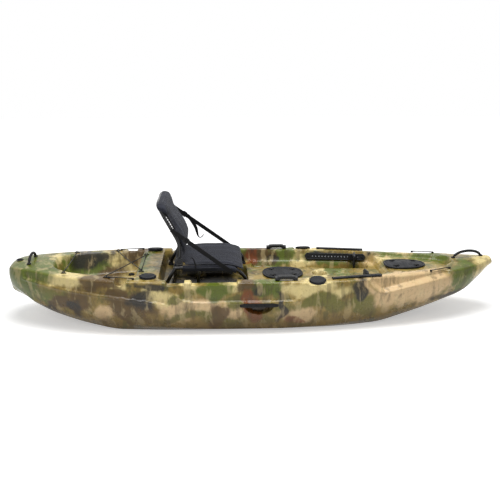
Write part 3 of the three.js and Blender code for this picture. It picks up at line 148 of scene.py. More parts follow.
# A polygon's corners rounded by short curves: each corner is x, y and the run it takes up.
def roundedOutline(corners, steps=6):
    points = np.array([c[:2] for c in corners], float)
    runs = [c[2] for c in corners]
    out = []
    for i, corner in enumerate(points):
        ends = []
        for other in (points[i - 1], points[(i + 1) % len(points)]):
            away = other - corner
            reach = np.linalg.norm(away)
            ends.append(corner + away / reach * min(runs[i], reach * 0.49))
        for t in np.linspace(0, 1, steps + 1):
            out.append((1 - t) ** 2 * ends[0] + 2 * t * (1 - t) * corner + t * t * ends[1])
    return np.array(out)


# A half plan followed by its own mirror image, so that it closes across the middle.
def mirroredPlan(half):
    return list(half) + [(x, -y, run) for x, y, run in reversed(half)]


# A mesh from rows of points. Each row closes round itself, and both end rows are capped from their
# middle; a ring joins its last row to its first instead, and a sheet does neither.
def gridMesh(name, points, ring=False, sheet=False, sharp=None):
    rows, cols = points.shape[:2]
    vertices = points.reshape(-1, 3)
    index = np.arange(rows * cols).reshape(rows, cols)
    if not sheet:
        index = np.concatenate([index, index[:, :1]], axis=1)
    if ring:
        index = np.concatenate([index, index[:1]], axis=0)
    corners = [index[:-1, :-1], index[:-1, 1:], index[1:, 1:], index[1:, :-1]]
    faces = np.stack(corners, axis=-1).reshape(-1, 4).tolist()
    if not ring and not sheet:
        hubs = [points[0].mean(axis=0), points[-1].mean(axis=0)]
        for hub, row, way in ((len(vertices), index[0], -1), (len(vertices) + 1, index[-1], 1)):
            faces += [[hub, *pair[::way]] for pair in zip(row[:-1].tolist(), row[1:].tolist())]
        vertices = np.concatenate([vertices, np.array(hubs)])
    return meshFrom(name, vertices, faces, sharp)


# A smooth mesh from points and faces, with edges sharper than the angle kept hard.
def meshFrom(name, vertices, faces, sharp=None):
    mesh = bpy.data.meshes.new(name)
    mesh.from_pydata(np.asarray(vertices, float).tolist(), [], faces)
    mesh.validate()
    mesh.shade_smooth()
    if sharp is not None:
        mesh.set_sharp_from_angle(angle=math.radians(sharp))
    obj = bpy.data.objects.new(name, mesh)
    bpy.context.scene.collection.objects.link(obj)
    return faceOutward(obj)


# A mesh's points as rows of x, y and z.
def meshPoints(mesh):
    co = np.zeros(len(mesh.vertices) * 3)
    mesh.vertices.foreach_get("co", co)
    return co.reshape(-1, 3)


# Turns a closed mesh's faces outward by the sign of its volume.
def faceOutward(obj):
    mesh = obj.data
    mesh.calc_loop_triangles()
    tri = np.zeros(len(mesh.loop_triangles) * 3, int)
    mesh.loop_triangles.foreach_get("vertices", tri)
    p = meshPoints(mesh)[tri.reshape(-1, 3)]
    centre = p.reshape(-1, 3).mean(axis=0)
    p = p - centre
    if np.einsum("ij,ij->i", p[:, 0], np.cross(p[:, 1], p[:, 2])).sum() < 0:
        mesh.flip_normals()
    return obj


# A round or flat bar swept along a path: the section's points turn with the path, without twist.
def sweep(name, path, section, closed=False, scale=None):
    path = np.asarray(path, float)
    section = np.asarray(section, float)
    if closed:
        tangent = np.roll(path, -1, axis=0) - np.roll(path, 1, axis=0)
    else:
        tangent = np.gradient(path, axis=0)
    tangent /= np.linalg.norm(tangent, axis=1, keepdims=True)
    normal = np.zeros_like(path)
    first = np.array([0.0, 0.0, 1.0]) if abs(tangent[0][2]) < 0.9 else np.array([1.0, 0.0, 0.0])
    current = np.cross(tangent[0], first)
    for i, t in enumerate(tangent):
        current = current - t * current.dot(t)
        current /= np.linalg.norm(current)
        normal[i] = current
    other = np.cross(tangent, normal)
    if closed:
        last = normal[-1] - tangent[0] * normal[-1].dot(tangent[0])
        twist = math.atan2(np.dot(np.cross(normal[0], last), tangent[0]), np.dot(normal[0], last))
        angle = -twist * np.linspace(0, 1, len(path))[:, None]
        normal, other = (normal * np.cos(angle) + other * np.sin(angle),
                         other * np.cos(angle) - normal * np.sin(angle))
    size = np.ones(len(path)) if scale is None else np.asarray(scale, float)
    points = (path[:, None, :] + size[:, None, None] * (normal[:, None, :] * section[None, :, :1]
              + other[:, None, :] * section[None, :, 1:]))
    return gridMesh(name, points, ring=closed)


# Angles evenly spaced round a full turn.
def fullTurn(count):
    return np.linspace(0, 2 * math.pi, count, endpoint=False)


# Evenly spaced points round a circle.
def circle(radius, count=16):
    angle = fullTurn(count)
    return np.stack([radius * np.cos(angle), radius * np.sin(angle)], axis=-1)


# A smooth path through a few points, with the number of steps asked for.
def smoothPath(points, steps=60):
    p = np.asarray(points, float)
    reach = len(p) - 1
    at = np.linspace(0, reach, steps)
    i = np.minimum(at.astype(int), reach - 1)
    t = (at - i)[:, None]
    a, b, c, d = [p[np.clip(i + step, 0, reach)] for step in (-1, 0, 1, 2)]
    return 0.5 * (2 * b + (c - a) * t + (2 * a - 5 * b + 4 * c - d) * t * t + (3 * b - a - 3 * c + d) * t ** 3)


# A round solid turned about a line: profile rows are distance out and height.
def turned(name, profile, place, axis=(0, 0, 1), count=32, sharp=35):
    rows = np.asarray(profile, float)
    up = np.asarray(axis, float) / np.linalg.norm(axis)
    side = np.cross(up, (0, 1, 0) if abs(up[1]) < 0.9 else (1, 0, 0))
    side /= np.linalg.norm(side)
    other = np.cross(up, side)
    angle = fullTurn(count)
    ring = side[None] * np.cos(angle)[:, None] + other[None] * np.sin(angle)[:, None]
    points = (np.asarray(place, float) + rows[:, None, :1] * ring[None] + rows[:, None, 1:] * up)
    return gridMesh(name, points, sharp=sharp)


# Several closed shells as one mesh, creased where its faces meet at more than 35 degrees.
def joinPieces(name, pieces):
    vertices, faces, start = [], [], 0
    for piece in pieces:
        vertices.append(meshPoints(piece.data))
        faces += [[v + start for v in p.vertices] for p in piece.data.polygons]
        start += len(piece.data.vertices)
    for piece in pieces:
        bpy.data.meshes.remove(piece.data)
    mesh = bpy.data.meshes.new(name)
    mesh.from_pydata(np.concatenate(vertices).tolist(), [], faces)
    mesh.shade_smooth()
    mesh.set_sharp_from_angle(angle=math.radians(35))
    obj = bpy.data.objects.new(name, mesh)
    bpy.context.scene.collection.objects.link(obj)
    return obj


# Gives a piece its finish, and the body it rides in place of the CAD nodes named; the slot is not used.
def finishPiece(obj, body, slot, material, *replaced):
    obj.data.materials.clear()
    obj.data.materials.append(material)
    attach(obj, body)
    if replaced:
        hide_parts(*replaced)
    return obj


# Material tools

def newMaterial(name):
    material = bpy.data.materials.new(name)
    material.use_nodes = True
    tree = material.node_tree
    shader = tree.nodes["Principled BSDF"]
    return material, tree, shader


# Sets sockets by name or number: a (node, output) pair is linked, a string is a colour.
def setSockets(tree, node, **sockets):
    for key, value in sockets.items():
        numbered = key[0] == "i" and key[1:].isdigit()
        socket = node.inputs[int(key[1:])] if numbered else node.inputs[key.replace("_", " ")]
        if isinstance(value, tuple) and isinstance(value[0], bpy.types.Node):
            tree.links.new(value[0].outputs[value[1]], socket)
        else:
            socket.default_value = linearColour(value) if isinstance(value, str) else value
    return node


# Adds one node with its settings and sockets.
def addNode(tree, kind, settings=None, **sockets):
    node = tree.nodes.new(kind)
    for key, value in (settings or {}).items():
        setattr(node, key, value)
    return setSockets(tree, node, **sockets)


# Settings that many nodes share.
softRamp = {"interpolation_type": "SMOOTHSTEP", "clamp": True}
blendColours = {"data_type": "RGBA"}


# Hull: one skin over the moulded shell, lofted through stations from stern to bow

hullSpec = {
    "halfLength": 1.525, "halfBeam": 0.400, "sheer": 0.322, "lipDrop": 0.014, "lipRound": 0.016,
    "tunnelDepth": 0.015, "fullness": 2.4, "endRound": 0.016, "stations": 400,
    "bottomPoints": 9, "sidePoints": 47, "lipPoints": 5, "deckPoints": 54,
}
# x, half beam, gunwale, keel, chine width (of the beam there), chine height, crown, flat bottom: shares
stationRows = [
    (-1.000, 0.125, 1.020, 0.560, 0.70, 0.760, 0.010, 0.0),
    (-0.984, 0.250, 1.085, 0.510, 0.78, 0.730, 0.020, 0.0),
    (-0.951, 0.362, 1.108, 0.420, 0.79, 0.652, 0.028, 0.0),
    (-0.885, 0.500, 1.100, 0.205, 0.80, 0.475, 0.028, 0.1),
    (-0.787, 0.675, 1.072, 0.068, 0.82, 0.351, 0.024, 0.3),
    (-0.656, 0.838, 1.042, 0.022, 0.85, 0.275, 0.020, 0.7),
    (-0.525, 0.938, 1.031, 0.000, 0.865, 0.200, 0.020, 1.0),
    (-0.328, 0.988, 1.018, 0.000, 0.87, 0.112, 0.020, 1.0),
    (-0.131, 1.000, 1.003, 0.000, 0.87, 0.068, 0.020, 1.0),
    (0.066, 1.000, 0.992, 0.000, 0.87, 0.060, 0.020, 1.0),
    (0.262, 0.962, 0.988, 0.000, 0.865, 0.086, 0.020, 1.0),
    (0.459, 0.850, 0.981, 0.006, 0.86, 0.177, 0.020, 0.9),
    (0.590, 0.750, 0.976, 0.037, 0.84, 0.286, 0.022, 0.5),
    (0.721, 0.612, 0.986, 0.112, 0.79, 0.380, 0.030, 0.2),
    (0.852, 0.412, 1.006, 0.290, 0.72, 0.500, 0.050, 0.0),
    (0.931, 0.250, 1.038, 0.600, 0.68, 0.740, 0.045, 0.0),
    (0.984, 0.112, 1.068, 0.880, 0.66, 0.930, 0.020, 0.0),
    (1.000, 0.050, 1.010, 0.915, 0.66, 0.950, 0.010, 0.0),
]
hullLines = {name: curveThrough(stationRows, column) for column, name in enumerate(
    ("beam", "gunwale", "keel", "chineWidth", "chineHeight", "crown", "pontoon"), 1)}

# Deck wells: half plans (shares of the half length and half beam, with the corner's run), floor,
# the run of the wall, and the shares of it that round the lip and the foot
wellSpec = {
    "cockpit": {"plan": [(-0.387, 0.838, 0.09), (-0.020, 0.825, 0.20), (0.216, 0.758, 0.15),
                         (0.511, 0.608, 0.08), (0.535, 0.500, 0.08)],
                "floor": 0.251, "run": 0.022, "lip": 0.18, "foot": 0.45},
    "seatTrough": {"plan": [(-0.341, 0.462, 0.08), (-0.030, 0.462, 0.08)],
                   "floor": 0.195, "run": 0.020, "lip": 0.35, "foot": 0.45},
    "tank": {"plan": [(-0.823, 0.262, 0.17), (-0.754, 0.500, 0.15), (-0.587, 0.655, 0.20),
                      (-0.471, 0.722, 0.09)],
             "floor": 0.205, "run": 0.066, "lip": 0.15, "foot": 0.60},
    "foredeck": {"plan": [(0.521, 0.580, 0.04), (0.656, 0.490, 0.20), (0.754, 0.365, 0.15),
                          (0.822, 0.160, 0.14)],
                 "floor": 0.297, "run": 0.016, "lip": 0.30, "foot": 0.40},
}
legChannelPlan = [(-0.010, 0.375, 0.08), (0.197, 0.375, 0.12), (0.308, 0.245, 0.12), (0.489, 0.225, 0.09),
                  (0.502, 0.550, 0.10), (0.216, 0.700, 0.16), (-0.010, 0.750, 0.09)]
deckSpec = {
    "channel": {"rear": 0.068, "front": 0.746, "floor": 0.212, "floorForward": 0.172, "run": 0.024},
    "ramp": {"rear": 0.778, "front": 0.862, "halfWidth": 0.158, "ribs": 5, "ribHeight": 0.0035},
    "recess": {"depth": 0.006, "halfWidth": 0.040, "length": 0.088, "gap": 0.018, "start": 0.500,
               "corner": 0.010},
    "cup": {"x": 0.409, "bore": 0.041, "depth": 0.074},
    "scupper": {"places": [(-0.803, 0.178), (0.038, 0.243)], "bore": 0.015, "dish": 0.030, "dip": 0.004},
    "paddleNotch": {"x": -0.806, "radius": 0.036, "height": 0.337, "inner": 0.295},
    "gunwaleCut": {"runs": [(-0.545, -0.432), (-0.398, -0.122)], "sill": 0.306, "slope": 0.007,
                   "inner": 0.295},
    "rodPit": {"depth": 0.126, "radius": 0.0235, "lean": 20, "landing": (0.070, 0.058)},
}
rodPlaces = {"rear": {"x": -0.650, "y": 0.300, "z": 0.336, "outward": 8},
             "front": {"x": 0.347, "y": 0.352, "z": 0.315, "outward": 24}}
hatchPlaces = {"bow": {"x": 0.957, "z": 0.297, "halfLength": 0.131, "halfWidth": 0.110, "taper": 0.72},
               "centre": {"x": 0.175, "z": 0.251, "halfLength": 0.128, "halfWidth": 0.120, "taper": 0.95}}
# Panels let into the side, as outlines in x and z: depth, run of the edge and the bead round it
panelSpec = [
    {"outline": [(-0.512, 0.36), (-0.506, 0.300), (-0.492, 0.262), (-0.451, 0.222), (-0.387, 0.207),
                 (0.205, 0.205), (0.238, 0.222), (0.252, 0.262), (0.252, 0.36)],
     "depth": 0.012, "run": 0.012, "bead": 0.0045},
    {"outline": [(0.655, 0.36), (0.662, 0.288), (0.692, 0.256), (0.724, 0.232), (0.756, 0.225),
                 (0.851, 0.242), (1.170, 0.289), (1.197, 0.300), (1.21, 0.36)],
     "depth": 0.036, "run": 0.026, "bead": 0.0035},
    {"outline": [(-1.42, 0.40), (-1.40, 0.302), (-1.339, 0.294), (-1.16, 0.269), (-0.833, 0.238),
                 (-0.544, 0.199), (-0.530, 0.215), (-0.524, 0.262), (-0.524, 0.40)],
     "depth": 0.010, "run": 0.012, "bead": 0.0050},
]
scoopSpec = {"halfWidth": 0.093, "top": 0.198, "drop": 0.075, "inner": 0.350, "run": 0.016}


# Runs along the boat with closer stations: from, to and by how much
denseRuns = [
    (-1.262, -1.19, 0.8), (-0.845, -0.765, 1.6), (-0.690, -0.600, 1.2), (-0.600, -0.500, 1.4),
    (-0.440, -0.390, 1.8), (-0.130, -0.030, 1.0), (-0.030, 0.110, 1.0), (0.285, 0.372, 1.2),
    (0.490, 0.700, 0.5), (0.735, 0.875, 1.4), (1.235, 1.262, 0.8),
]


# Station places: closer together where a wall or cut crosses the boat.
def stationPlaces(spec):
    reach = spec["halfLength"]
    fine = np.linspace(-reach, reach, 6001)
    density = np.full(fine.shape, 1.0)
    for low, high, weight in denseRuns + [(-reach, -reach + 0.02, 3.0), (reach - 0.02, reach, 3.0)]:
        density += weight * softStep(low - 0.02, low, fine) * softStep(high + 0.02, high, fine)
    total = np.concatenate([[0], np.cumsum((density[1:] + density[:-1]) / 2)])
    return np.interp(np.linspace(0, total[-1], spec["stations"]), total, fine)


# Spreads points along each station's profile by its arc length, evened out from station to station.
def spreadPoints(y, z, count):
    step = np.hypot(np.diff(y, axis=1), np.diff(z, axis=1))
    share = step / step.sum(axis=1, keepdims=True)
    share = share + 0.35 / share.shape[1]      # partly even spacing
    reach = 5
    padded = np.concatenate([share[:1].repeat(reach, 0), share, share[-1:].repeat(reach, 0)])
    kernel = np.exp(-np.linspace(-1.8, 1.8, 2 * reach + 1) ** 2)
    kernel /= kernel.sum()
    even = sum(weight * padded[i:i + len(share)] for i, weight in enumerate(kernel))
    total = np.concatenate([np.zeros((len(even), 1)), np.cumsum(even, axis=1)], axis=1)
    total /= total[:, -1:]
    fine = np.linspace(0, 1, y.shape[1])
    wanted = np.linspace(0, 1, count)
    return np.array([np.interp(wanted, row, fine) for row in total])


# The hull lines at each station in metres: shares of the beam and sheer times their size.
def stationValues(x):
    share, sheer = x / hullSpec["halfLength"], hullSpec["sheer"]
    line = {name: curve(share) for name, curve in hullLines.items()}
    beam = line["beam"] * hullSpec["halfBeam"]
    return {"beam": beam, "gunwale": line["gunwale"] * sheer, "keel": line["keel"] * sheer,
            "chineY": line["chineWidth"] * beam, "chineZ": line["chineHeight"] * sheer,
            "crown": line["crown"] * sheer, "pontoon": line["pontoon"]}


# Bottom: from the keel line out to the chine, a flat pontoon amidships and a vee at the ends.
def bottomHeight(u, v):
    rise = v["chineZ"] - v["keel"]
    hollow = np.clip(1 - ((u - 0.26) / 0.24) ** 2, 0, 1) ** 2
    flat = np.clip((u - 0.80) / 0.20, 0, 1) ** 2.2 * rise + hollow * hullSpec["tunnelDepth"]
    return v["keel"] + v["pontoon"] * flat + (1 - v["pontoon"]) * rise * u ** 1.04


# Side: a full curve from the chine to the gunwale, stood proud by a few millimetres and let in at the panels.
def sideBreadth(x, z, v):
    shoulder = v["gunwale"] - hullSpec["lipDrop"]
    t = np.clip((z - v["chineZ"]) / (shoulder - v["chineZ"]), 0, 1)
    plain = v["chineY"] + (v["beam"] - v["chineY"]) * (1 - (1 - t) ** hullSpec["fullness"])
    room = np.minimum(1, v["beam"] / 0.15)
    proud = 0.007 * softStep(0.0, 0.6, t) + 0.006 * softStep(0.45, 0.75, x) * softStep(1.3, 1.1, x) * t
    breadth = plain + proud * room * softStep(1.0, 0.72, t)
    for panel in panelSpec:
        inside = insideDistance(panel["outline"], x, z)
        breadth = breadth - panel["depth"] * room * roundedRamp(inside / panel["run"], 0.25, 0.4)
        bead = np.exp(-((inside + 0.004) / 0.0075) ** 2) * softStep(1.0, 0.8, t)
        breadth = breadth + panel["bead"] * room * bead
    cut = (x / scoopSpec["halfWidth"]) ** 2 + ((z - scoopSpec["top"]) / scoopSpec["drop"]) ** 2
    edge = (1 - np.sqrt(cut)) * scoopSpec["drop"]
    below = softStep(scoopSpec["top"], scoopSpec["top"] - 0.004, z)
    depth = roundedRamp(edge / scoopSpec["run"], 0.25, 0.5) * below
    return np.where(edge > 0, breadth + (np.minimum(scoopSpec["inner"], breadth) - breadth) * depth, breadth)


# Shares of the half length and half beam as metres; the corner run goes by the beam.
def inPlan(plan):
    reach, beam = hullSpec["halfLength"], hullSpec["halfBeam"]
    return [(x * reach, y * beam, run * beam) for x, y, run in plan]


# A rounded oval, narrower towards the bow, drawn in by an inset.
def hatchOutline(place, inset):
    angle = fullTurn(48)
    c, s = np.cos(angle), np.sin(angle)
    narrow = 1 + (place["taper"] - 1) * (1 + c) / 2
    return np.stack([(place["halfLength"] - inset) * squared(c, 0.8),
                     (place["halfWidth"] - inset) * narrow * squared(s, 0.8)], axis=-1)


# Deck: the crowned gunwale level, lowered well by well towards each floor.
def deckHeight(x, y, v):
    z = v["gunwale"] + v["crown"] * (1 - (y / (v["beam"] - hullSpec["lipRound"])) ** 2)
    for name in ("cockpit", "tank", "foredeck", "seatTrough"):
        well = wellSpec[name]
        inside = insideDistance(roundedOutline(mirroredPlan(inPlan(well["plan"]))), x, y)
        drop = np.minimum(well["floor"], z) - z
        z = z + drop * roundedRamp(inside / well["run"], well["lip"], well["foot"])
    channel = deckSpec["channel"]
    along = np.clip((x - channel["rear"]) / (channel["front"] - channel["rear"]), 0, 1)
    floor = channel["floor"] + (channel["floorForward"] - channel["floor"]) * along
    inside = insideDistance(roundedOutline(inPlan(legChannelPlan)), x, y)
    z = z + (np.minimum(floor, z) - z) * roundedRamp(inside / channel["run"], 0.3, 0.5)
    ramp = deckSpec["ramp"]
    t = np.clip((x - ramp["rear"]) / (ramp["front"] - ramp["rear"]), 0, 1)
    low, high = wellSpec["cockpit"]["floor"], wellSpec["foredeck"]["floor"]
    slope = low + (high - low) * roundedRamp(t, 0.12, 0.12)
    ribs = softStep(0.2, 0.6, np.sin(t * ramp["ribs"] * 2 * math.pi)) * (np.abs(t - 0.5) < 0.5)
    slope = slope + ramp["ribHeight"] * ribs
    ends = np.minimum(x - ramp["rear"] + 0.02, ramp["front"] + 0.005 - x)
    edge = np.minimum(ramp["halfWidth"] - np.abs(y), ends)
    z = z + (np.minimum(slope, z) - z) * softStep(0, 0.008, edge)
    recess = deckSpec["recess"]
    for i in (0, 1):
        rear = recess["start"] + i * (recess["length"] + recess["gap"])
        front, wide, corner = rear + recess["length"], recess["halfWidth"], recess["corner"]
        outline = [(rear, wide, corner), (front, wide, corner), (front, -wide, corner), (rear, -wide, corner)]
        inside = insideDistance(roundedOutline(outline, 3), x, y)
        z = z - recess["depth"] * softStep(0, 0.006, inside)
    cup = deckSpec["cup"]
    away = np.hypot(x - cup["x"], y)
    z = z - cup["depth"] * softStep(cup["bore"] + 0.006, cup["bore"] - 0.002, away)
    dish = deckSpec["scupper"]
    for px, py in dish["places"]:
        away = np.hypot(x - px, y - py)
        z = z - dish["dip"] * softStep(dish["dish"], dish["bore"] + 0.002, away)
        z = z - 0.03 * softStep(dish["bore"] + 0.001, dish["bore"] - 0.004, away)
    for place in hatchPlaces.values():
        inside = insideDistance(hatchOutline(place, 0.020) + (place["x"], 0), x, y)
        z = z - 0.055 * softStep(0, 0.010, inside)
    return z


# Cuts through the gunwale, made on the finished points: the height of the cut there, or none.
def gunwaleCuts(p):
    x, y, z = p[..., 0], np.abs(p[..., 1]), p[..., 2]
    notch = deckSpec["paddleNotch"]
    across = np.clip(1 - ((x - notch["x"]) / notch["radius"]) ** 2, 0, 1)
    floor = np.where(across > 0, notch["height"] - notch["radius"] * np.sqrt(across), 9)
    z = np.where(y > notch["inner"], np.minimum(z, floor), z)
    cut = deckSpec["gunwaleCut"]
    for rear, front in cut["runs"]:
        edge = np.minimum(x - rear, front - x) / cut["slope"]
        floor = cut["sill"] + 0.022 * (1 - roundedRamp(edge, 0.3, 0.3))
        z = np.where((y > cut["inner"]) & (edge > 0), np.minimum(z, floor), z)
    for place in rodPlaces.values():
        lean = math.radians(place["outward"])
        plane = place["z"] - math.tan(lean) * (y - place["y"]) + 0.0002
        long, wide = deckSpec["rodPit"]["landing"]
        away = np.hypot((x - place["x"]) / long, (y - place["y"]) / (wide * math.cos(lean)))
        mask = softStep(1.08, 1.0, away) * (z > 0.2)
        z = np.where(z > plane, z + (plane - z) * mask, z)
    p[..., 2] = z
    return p


# Rod holder pits: the deck goes down round each shaft and leans aft with it.
def rodPits(p):
    pit = deckSpec["rodPit"]
    lean = math.tan(math.radians(pit["lean"]))
    for place in rodPlaces.values():
        away = np.hypot(p[..., 0] - place["x"], np.abs(p[..., 1]) - place["y"])
        depth = pit["depth"] * softStep(pit["radius"] + 0.005, pit["radius"], away) * (p[..., 2] > 0.2)
        p[..., 0] += depth * lean
        p[..., 2] -= depth
    return p


# One half section per station: bottom, side, lip and deck, as arrays of stations by points.
def hullHalf(x):
    v = {name: value[:, None] for name, value in stationValues(x).items()}
    column = x[:, None]
    u = np.linspace(0, 1, hullSpec["bottomPoints"])[None, :]
    bottom = np.stack(np.broadcast_arrays(column, u * v["chineY"], bottomHeight(u, v)), axis=-1)
    shoulder = v["gunwale"] - hullSpec["lipDrop"]
    fine = np.linspace(0, 1, 240)[None, :]
    height = v["chineZ"] + fine * (shoulder - v["chineZ"])
    breadth = sideBreadth(column + 0 * fine, height, v)
    t = spreadPoints(breadth, height, hullSpec["sidePoints"])
    height = v["chineZ"] + t * (shoulder - v["chineZ"])
    side = np.stack(np.broadcast_arrays(column, sideBreadth(column + 0 * t, height, v), height), axis=-1)
    topY = side[:, -1:, 1]
    lipRound = np.minimum(hullSpec["lipRound"], v["beam"] / 2)
    turn = np.linspace(0, math.pi / 2, hullSpec["lipPoints"] + 1)[None, 1:]
    lip = np.stack(np.broadcast_arrays(column, topY - lipRound * (1 - np.cos(turn)),
                                       shoulder + hullSpec["lipDrop"] * np.sin(turn)), axis=-1)
    edge = lip[:, -1:, 1]
    inward = np.linspace(1, 0, 420)[None, :]
    y = edge * inward
    z = deckHeight(column + 0 * y, y, v)
    s = spreadPoints(y, z, hullSpec["deckPoints"] + 1)
    y = edge * (1 - s)
    deck = np.stack(np.broadcast_arrays(column, y, deckHeight(column + 0 * y, y, v)), axis=-1)
    return np.concatenate([bottom, side[:, 1:], lip, deck[:, 1:]], axis=1)


# Rounds both tips: the section shrinks about its middle over the last few millimetres.
def roundEnds(p, x):
    reach, radius = hullSpec["halfLength"], hullSpec["endRound"]
    t = np.clip((np.abs(x) - (reach - radius)) / radius, 0, 1)
    inset = radius * (1 - np.sqrt(1 - t * t))
    low, high = p[..., 2].min(axis=1), p[..., 2].max(axis=1)
    wide = p[..., 1].max(axis=1)
    middle = (low + high) / 2
    tall = np.maximum(high - low, 1e-4) / 2
    p[..., 1] *= np.clip(1 - inset / wide, 0.2, 1)[:, None]
    squeeze = np.clip(1 - inset / tall, 0.2, 1)[:, None]
    p[..., 2] = middle[:, None] + (p[..., 2] - middle[:, None]) * squeeze
    return p


# Half sections from stern to bow, mirrored across the middle and lofted.
def makeHullSkin():
    x = stationPlaces(hullSpec)
    half = rodPits(gunwaleCuts(hullHalf(x)))
    half = roundEnds(half, x)
    other = half[:, 1:-1][:, ::-1].copy()
    other[..., 1] *= -1
    points = np.concatenate([half, other], axis=1)
    return gridMesh("hull_skin", points, sharp=42)


hullSkin = makeHullSkin()
print("hull", len(hullSkin.data.polygons))


# Materials

# Rotomoulded polyethylene: blotches of coloured powder melted together, soft at their edges, satin skin.
camoSpec = {
    "base": "#76612a", "pale": "#9d8748", "lowShade": "#452f10", "roughness": 0.30, "edge": 0.30,
    "spread": 0.62, "feather": 0.20, "big": (8.0, 7.5, 6.0), "fine": (20.0, 17.0, 7.0),
    "layers": [("cream", "#d6c489", 0.95), ("pink", "#cdb084", 0.94), ("olive", "#626020", 0.92),
               ("green", "#525f18", 0.96), ("brown", "#4e3814", 0.92), ("rust", "#6f3411", 0.84),
               ("dark", "#191610", 0.94)],
    "moss": ((10.0, 9.0, 6.0), 7, 9.0, 0.6, 0.52, 0.85, 0.8, "#575520"),
    "smears": [((24.0, 20.0, 4.0), 5, 2.0, 0.3, 0.60, 1.0, 0.46, "#3f3318"),
               ((18.0, 16.0, 4.4), 5, 7.0, 0.3, 0.64, 1.0, 0.36, "#cdb98a"),
               ((60.0, 60.0, 44.0), 4, 1.0, 0.0, 0.66, 1.0, 0.18, "#3f3a20")],
}
# Centre and radii in metres of each blotch, starboard side first, then the deck; some of the dark ones are
# painted shade, marked below
blotches = {
    "green": [(-1.40, -.13, .25, .17, .14, .18), (-.26, -.40, .30, .10, .12, .05),
              (.07, -.40, .30, .08, .12, .08), (1.30, -.19, .24, .11, .16, .18),
              (-1.44, .05, .30, .18, .25, .18), (-1.24, -.12, .35, .10, .20, .05),
              (.15, .33, .27, .13, .10, .07), (.48, .25, .27, .14, .10, .05),
              (1.16, .13, .31, .14, .10, .05), (.51, .0, .26, .10, .14, .03),
              (.07, .12, .20, .10, .15, .06), (.76, -.22, .29, .12, .08, .04),
              (.39, -.20, .29, .09, .07, .03), (-1.12, .16, .25, .20, .16, .10),
              (-.70, .06, .32, .07, .30, .06)],
    "olive": [(-1.23, -.22, .22, .13, .12, .06), (-.44, -.39, .27, .08, .12, .04),
              (.39, -.39, .18, .25, .12, .05), (.64, -.37, .14, .08, .12, .06),
              (-.14, -.40, .22, .05, .12, .04), (-.28, -.40, .09, .35, .12, .04),
              (.85, .05, .30, .10, .12, .03), (-1.02, -.16, .33, .08, .05, .03)],
    "brown": [(-1.07, -.28, .21, .09, .12, .07), (-.91, -.32, .31, .11, .12, .04),
              (-.72, -.36, .19, .14, .12, .10), (-.25, -.40, .12, .05, .12, .07),
              (-.04, -.40, .29, .07, .12, .06), (-.83, -.34, .24, .07, .12, .05),
              (-1.18, -.24, .16, .06, .12, .04), (.02, .33, .29, .10, .08, .05),
              (-.96, .10, .22, .10, .12, .06)],
    "dark": [(-1.06, -.28, .17, .045, .12, .05), (-.68, -.36, .23, .06, .12, .07),
             (-.63, -.37, .31, .09, .12, .03), (-.01, -.40, .27, .05, .12, .035),
             (.125, -.40, .15, .020, .12, .13), (.61, -.37, .26, .04, .12, .05),
             # painted shade: these two darken the low hull near the bow and the stern, where the underside
             # falls into shade
             (1.22, -.20, .15, .16, .14, .035), (-1.27, -.18, .11, .12, .14, .035),
             (-1.10, .24, .30, .18, .10, .07), (.45, .27, .27, .12, .08, .03),
             # painted shade: the last entry here darkens the seat trough under the seat, and the one after it
             # the scoop under the near side handle
             (.00, .35, .30, .05, .05, .03), (-.29, 0, .195, .27, .30, .075),
             (0, -.35, .165, .10, .05, .040)],
    "rust": [(-.07, -.40, .24, .04, .12, .05), (-.04, -.40, .13, .06, .12, .08),
             (.24, -.40, .09, .05, .12, .03), (-.02, .33, .28, .05, .1, .04)],
    "pink": [(-.92, -.32, .15, .06, .12, .07), (-.32, -.40, .19, .11, .12, .04),
             (-.51, -.38, .15, .09, .12, .05), (.94, -.30, .25, .30, .16, .16),
             (.22, -.40, .11, .11, .12, .06), (-.14, -.40, .14, .06, .12, .05)],
    "cream": [(-1.13, -.26, .33, .15, .12, .04), (-.59, -.38, .26, .09, .12, .035),
              (-.50, -.38, .22, .09, .12, .03), (-.40, -.39, .32, .05, .12, .03),
              (-.15, -.40, .30, .06, .12, .04), (.27, -.40, .29, .14, .12, .05),
              (.47, -.39, .27, .09, .12, .05), (-.81, -.34, .29, .05, .12, .03),
              (-.86, .04, .24, .12, .22, .08), (.32, .30, .27, .09, .10, .05),
              (.93, .20, .31, .13, .10, .05), (1.46, .0, .36, .10, .2, .13),
              (.41, .0, .25, .07, .07, .03), (-1.25, .06, .34, .08, .08, .03)],
}


# A smooth drift of a few centimetres, the sum of waves in fixed directions, that bends the blotches' outlines.
def flow(p, seed, length, reach):
    random = np.random.RandomState(seed)
    drift = np.zeros_like(p)
    for _ in range(9):
        way = random.normal(size=3)
        way /= np.linalg.norm(way)
        wave = length * random.uniform(0.6, 1.6)
        push = random.normal(size=3)
        drift += push * np.sin(p @ way * 2 * math.pi / wave + random.uniform(0, 6.28))[:, None]
    return drift / 3 * reach


# How far inside the nearest blotch of each colour a point is, the dark layer's painted shade included: 1 at a
# middle, 0 on an edge, below outside.
def paintBlotches(obj):
    mesh = obj.data
    at = meshPoints(mesh)
    for i, (colour, places) in enumerate(blotches.items()):
        p = at + flow(at, 40 + i, 0.30, 0.026) + flow(at, 70 + i, 0.10, 0.010)
        farSide = [(x + 0.16, -y, z, rx, ry, rz) for x, y, z, rx, ry, rz in places if y < -0.2]
        inside = np.full(len(p), -1.0)
        for x, y, z, rx, ry, rz in places + farSide:
            away = np.linalg.norm((p - (x, y, z)) / (rx, ry, rz), axis=1)
            inside = np.maximum(inside, 1 - away)
        layer = mesh.attributes.new(colour, "FLOAT", "POINT")
        layer.data.foreach_set("value", inside)


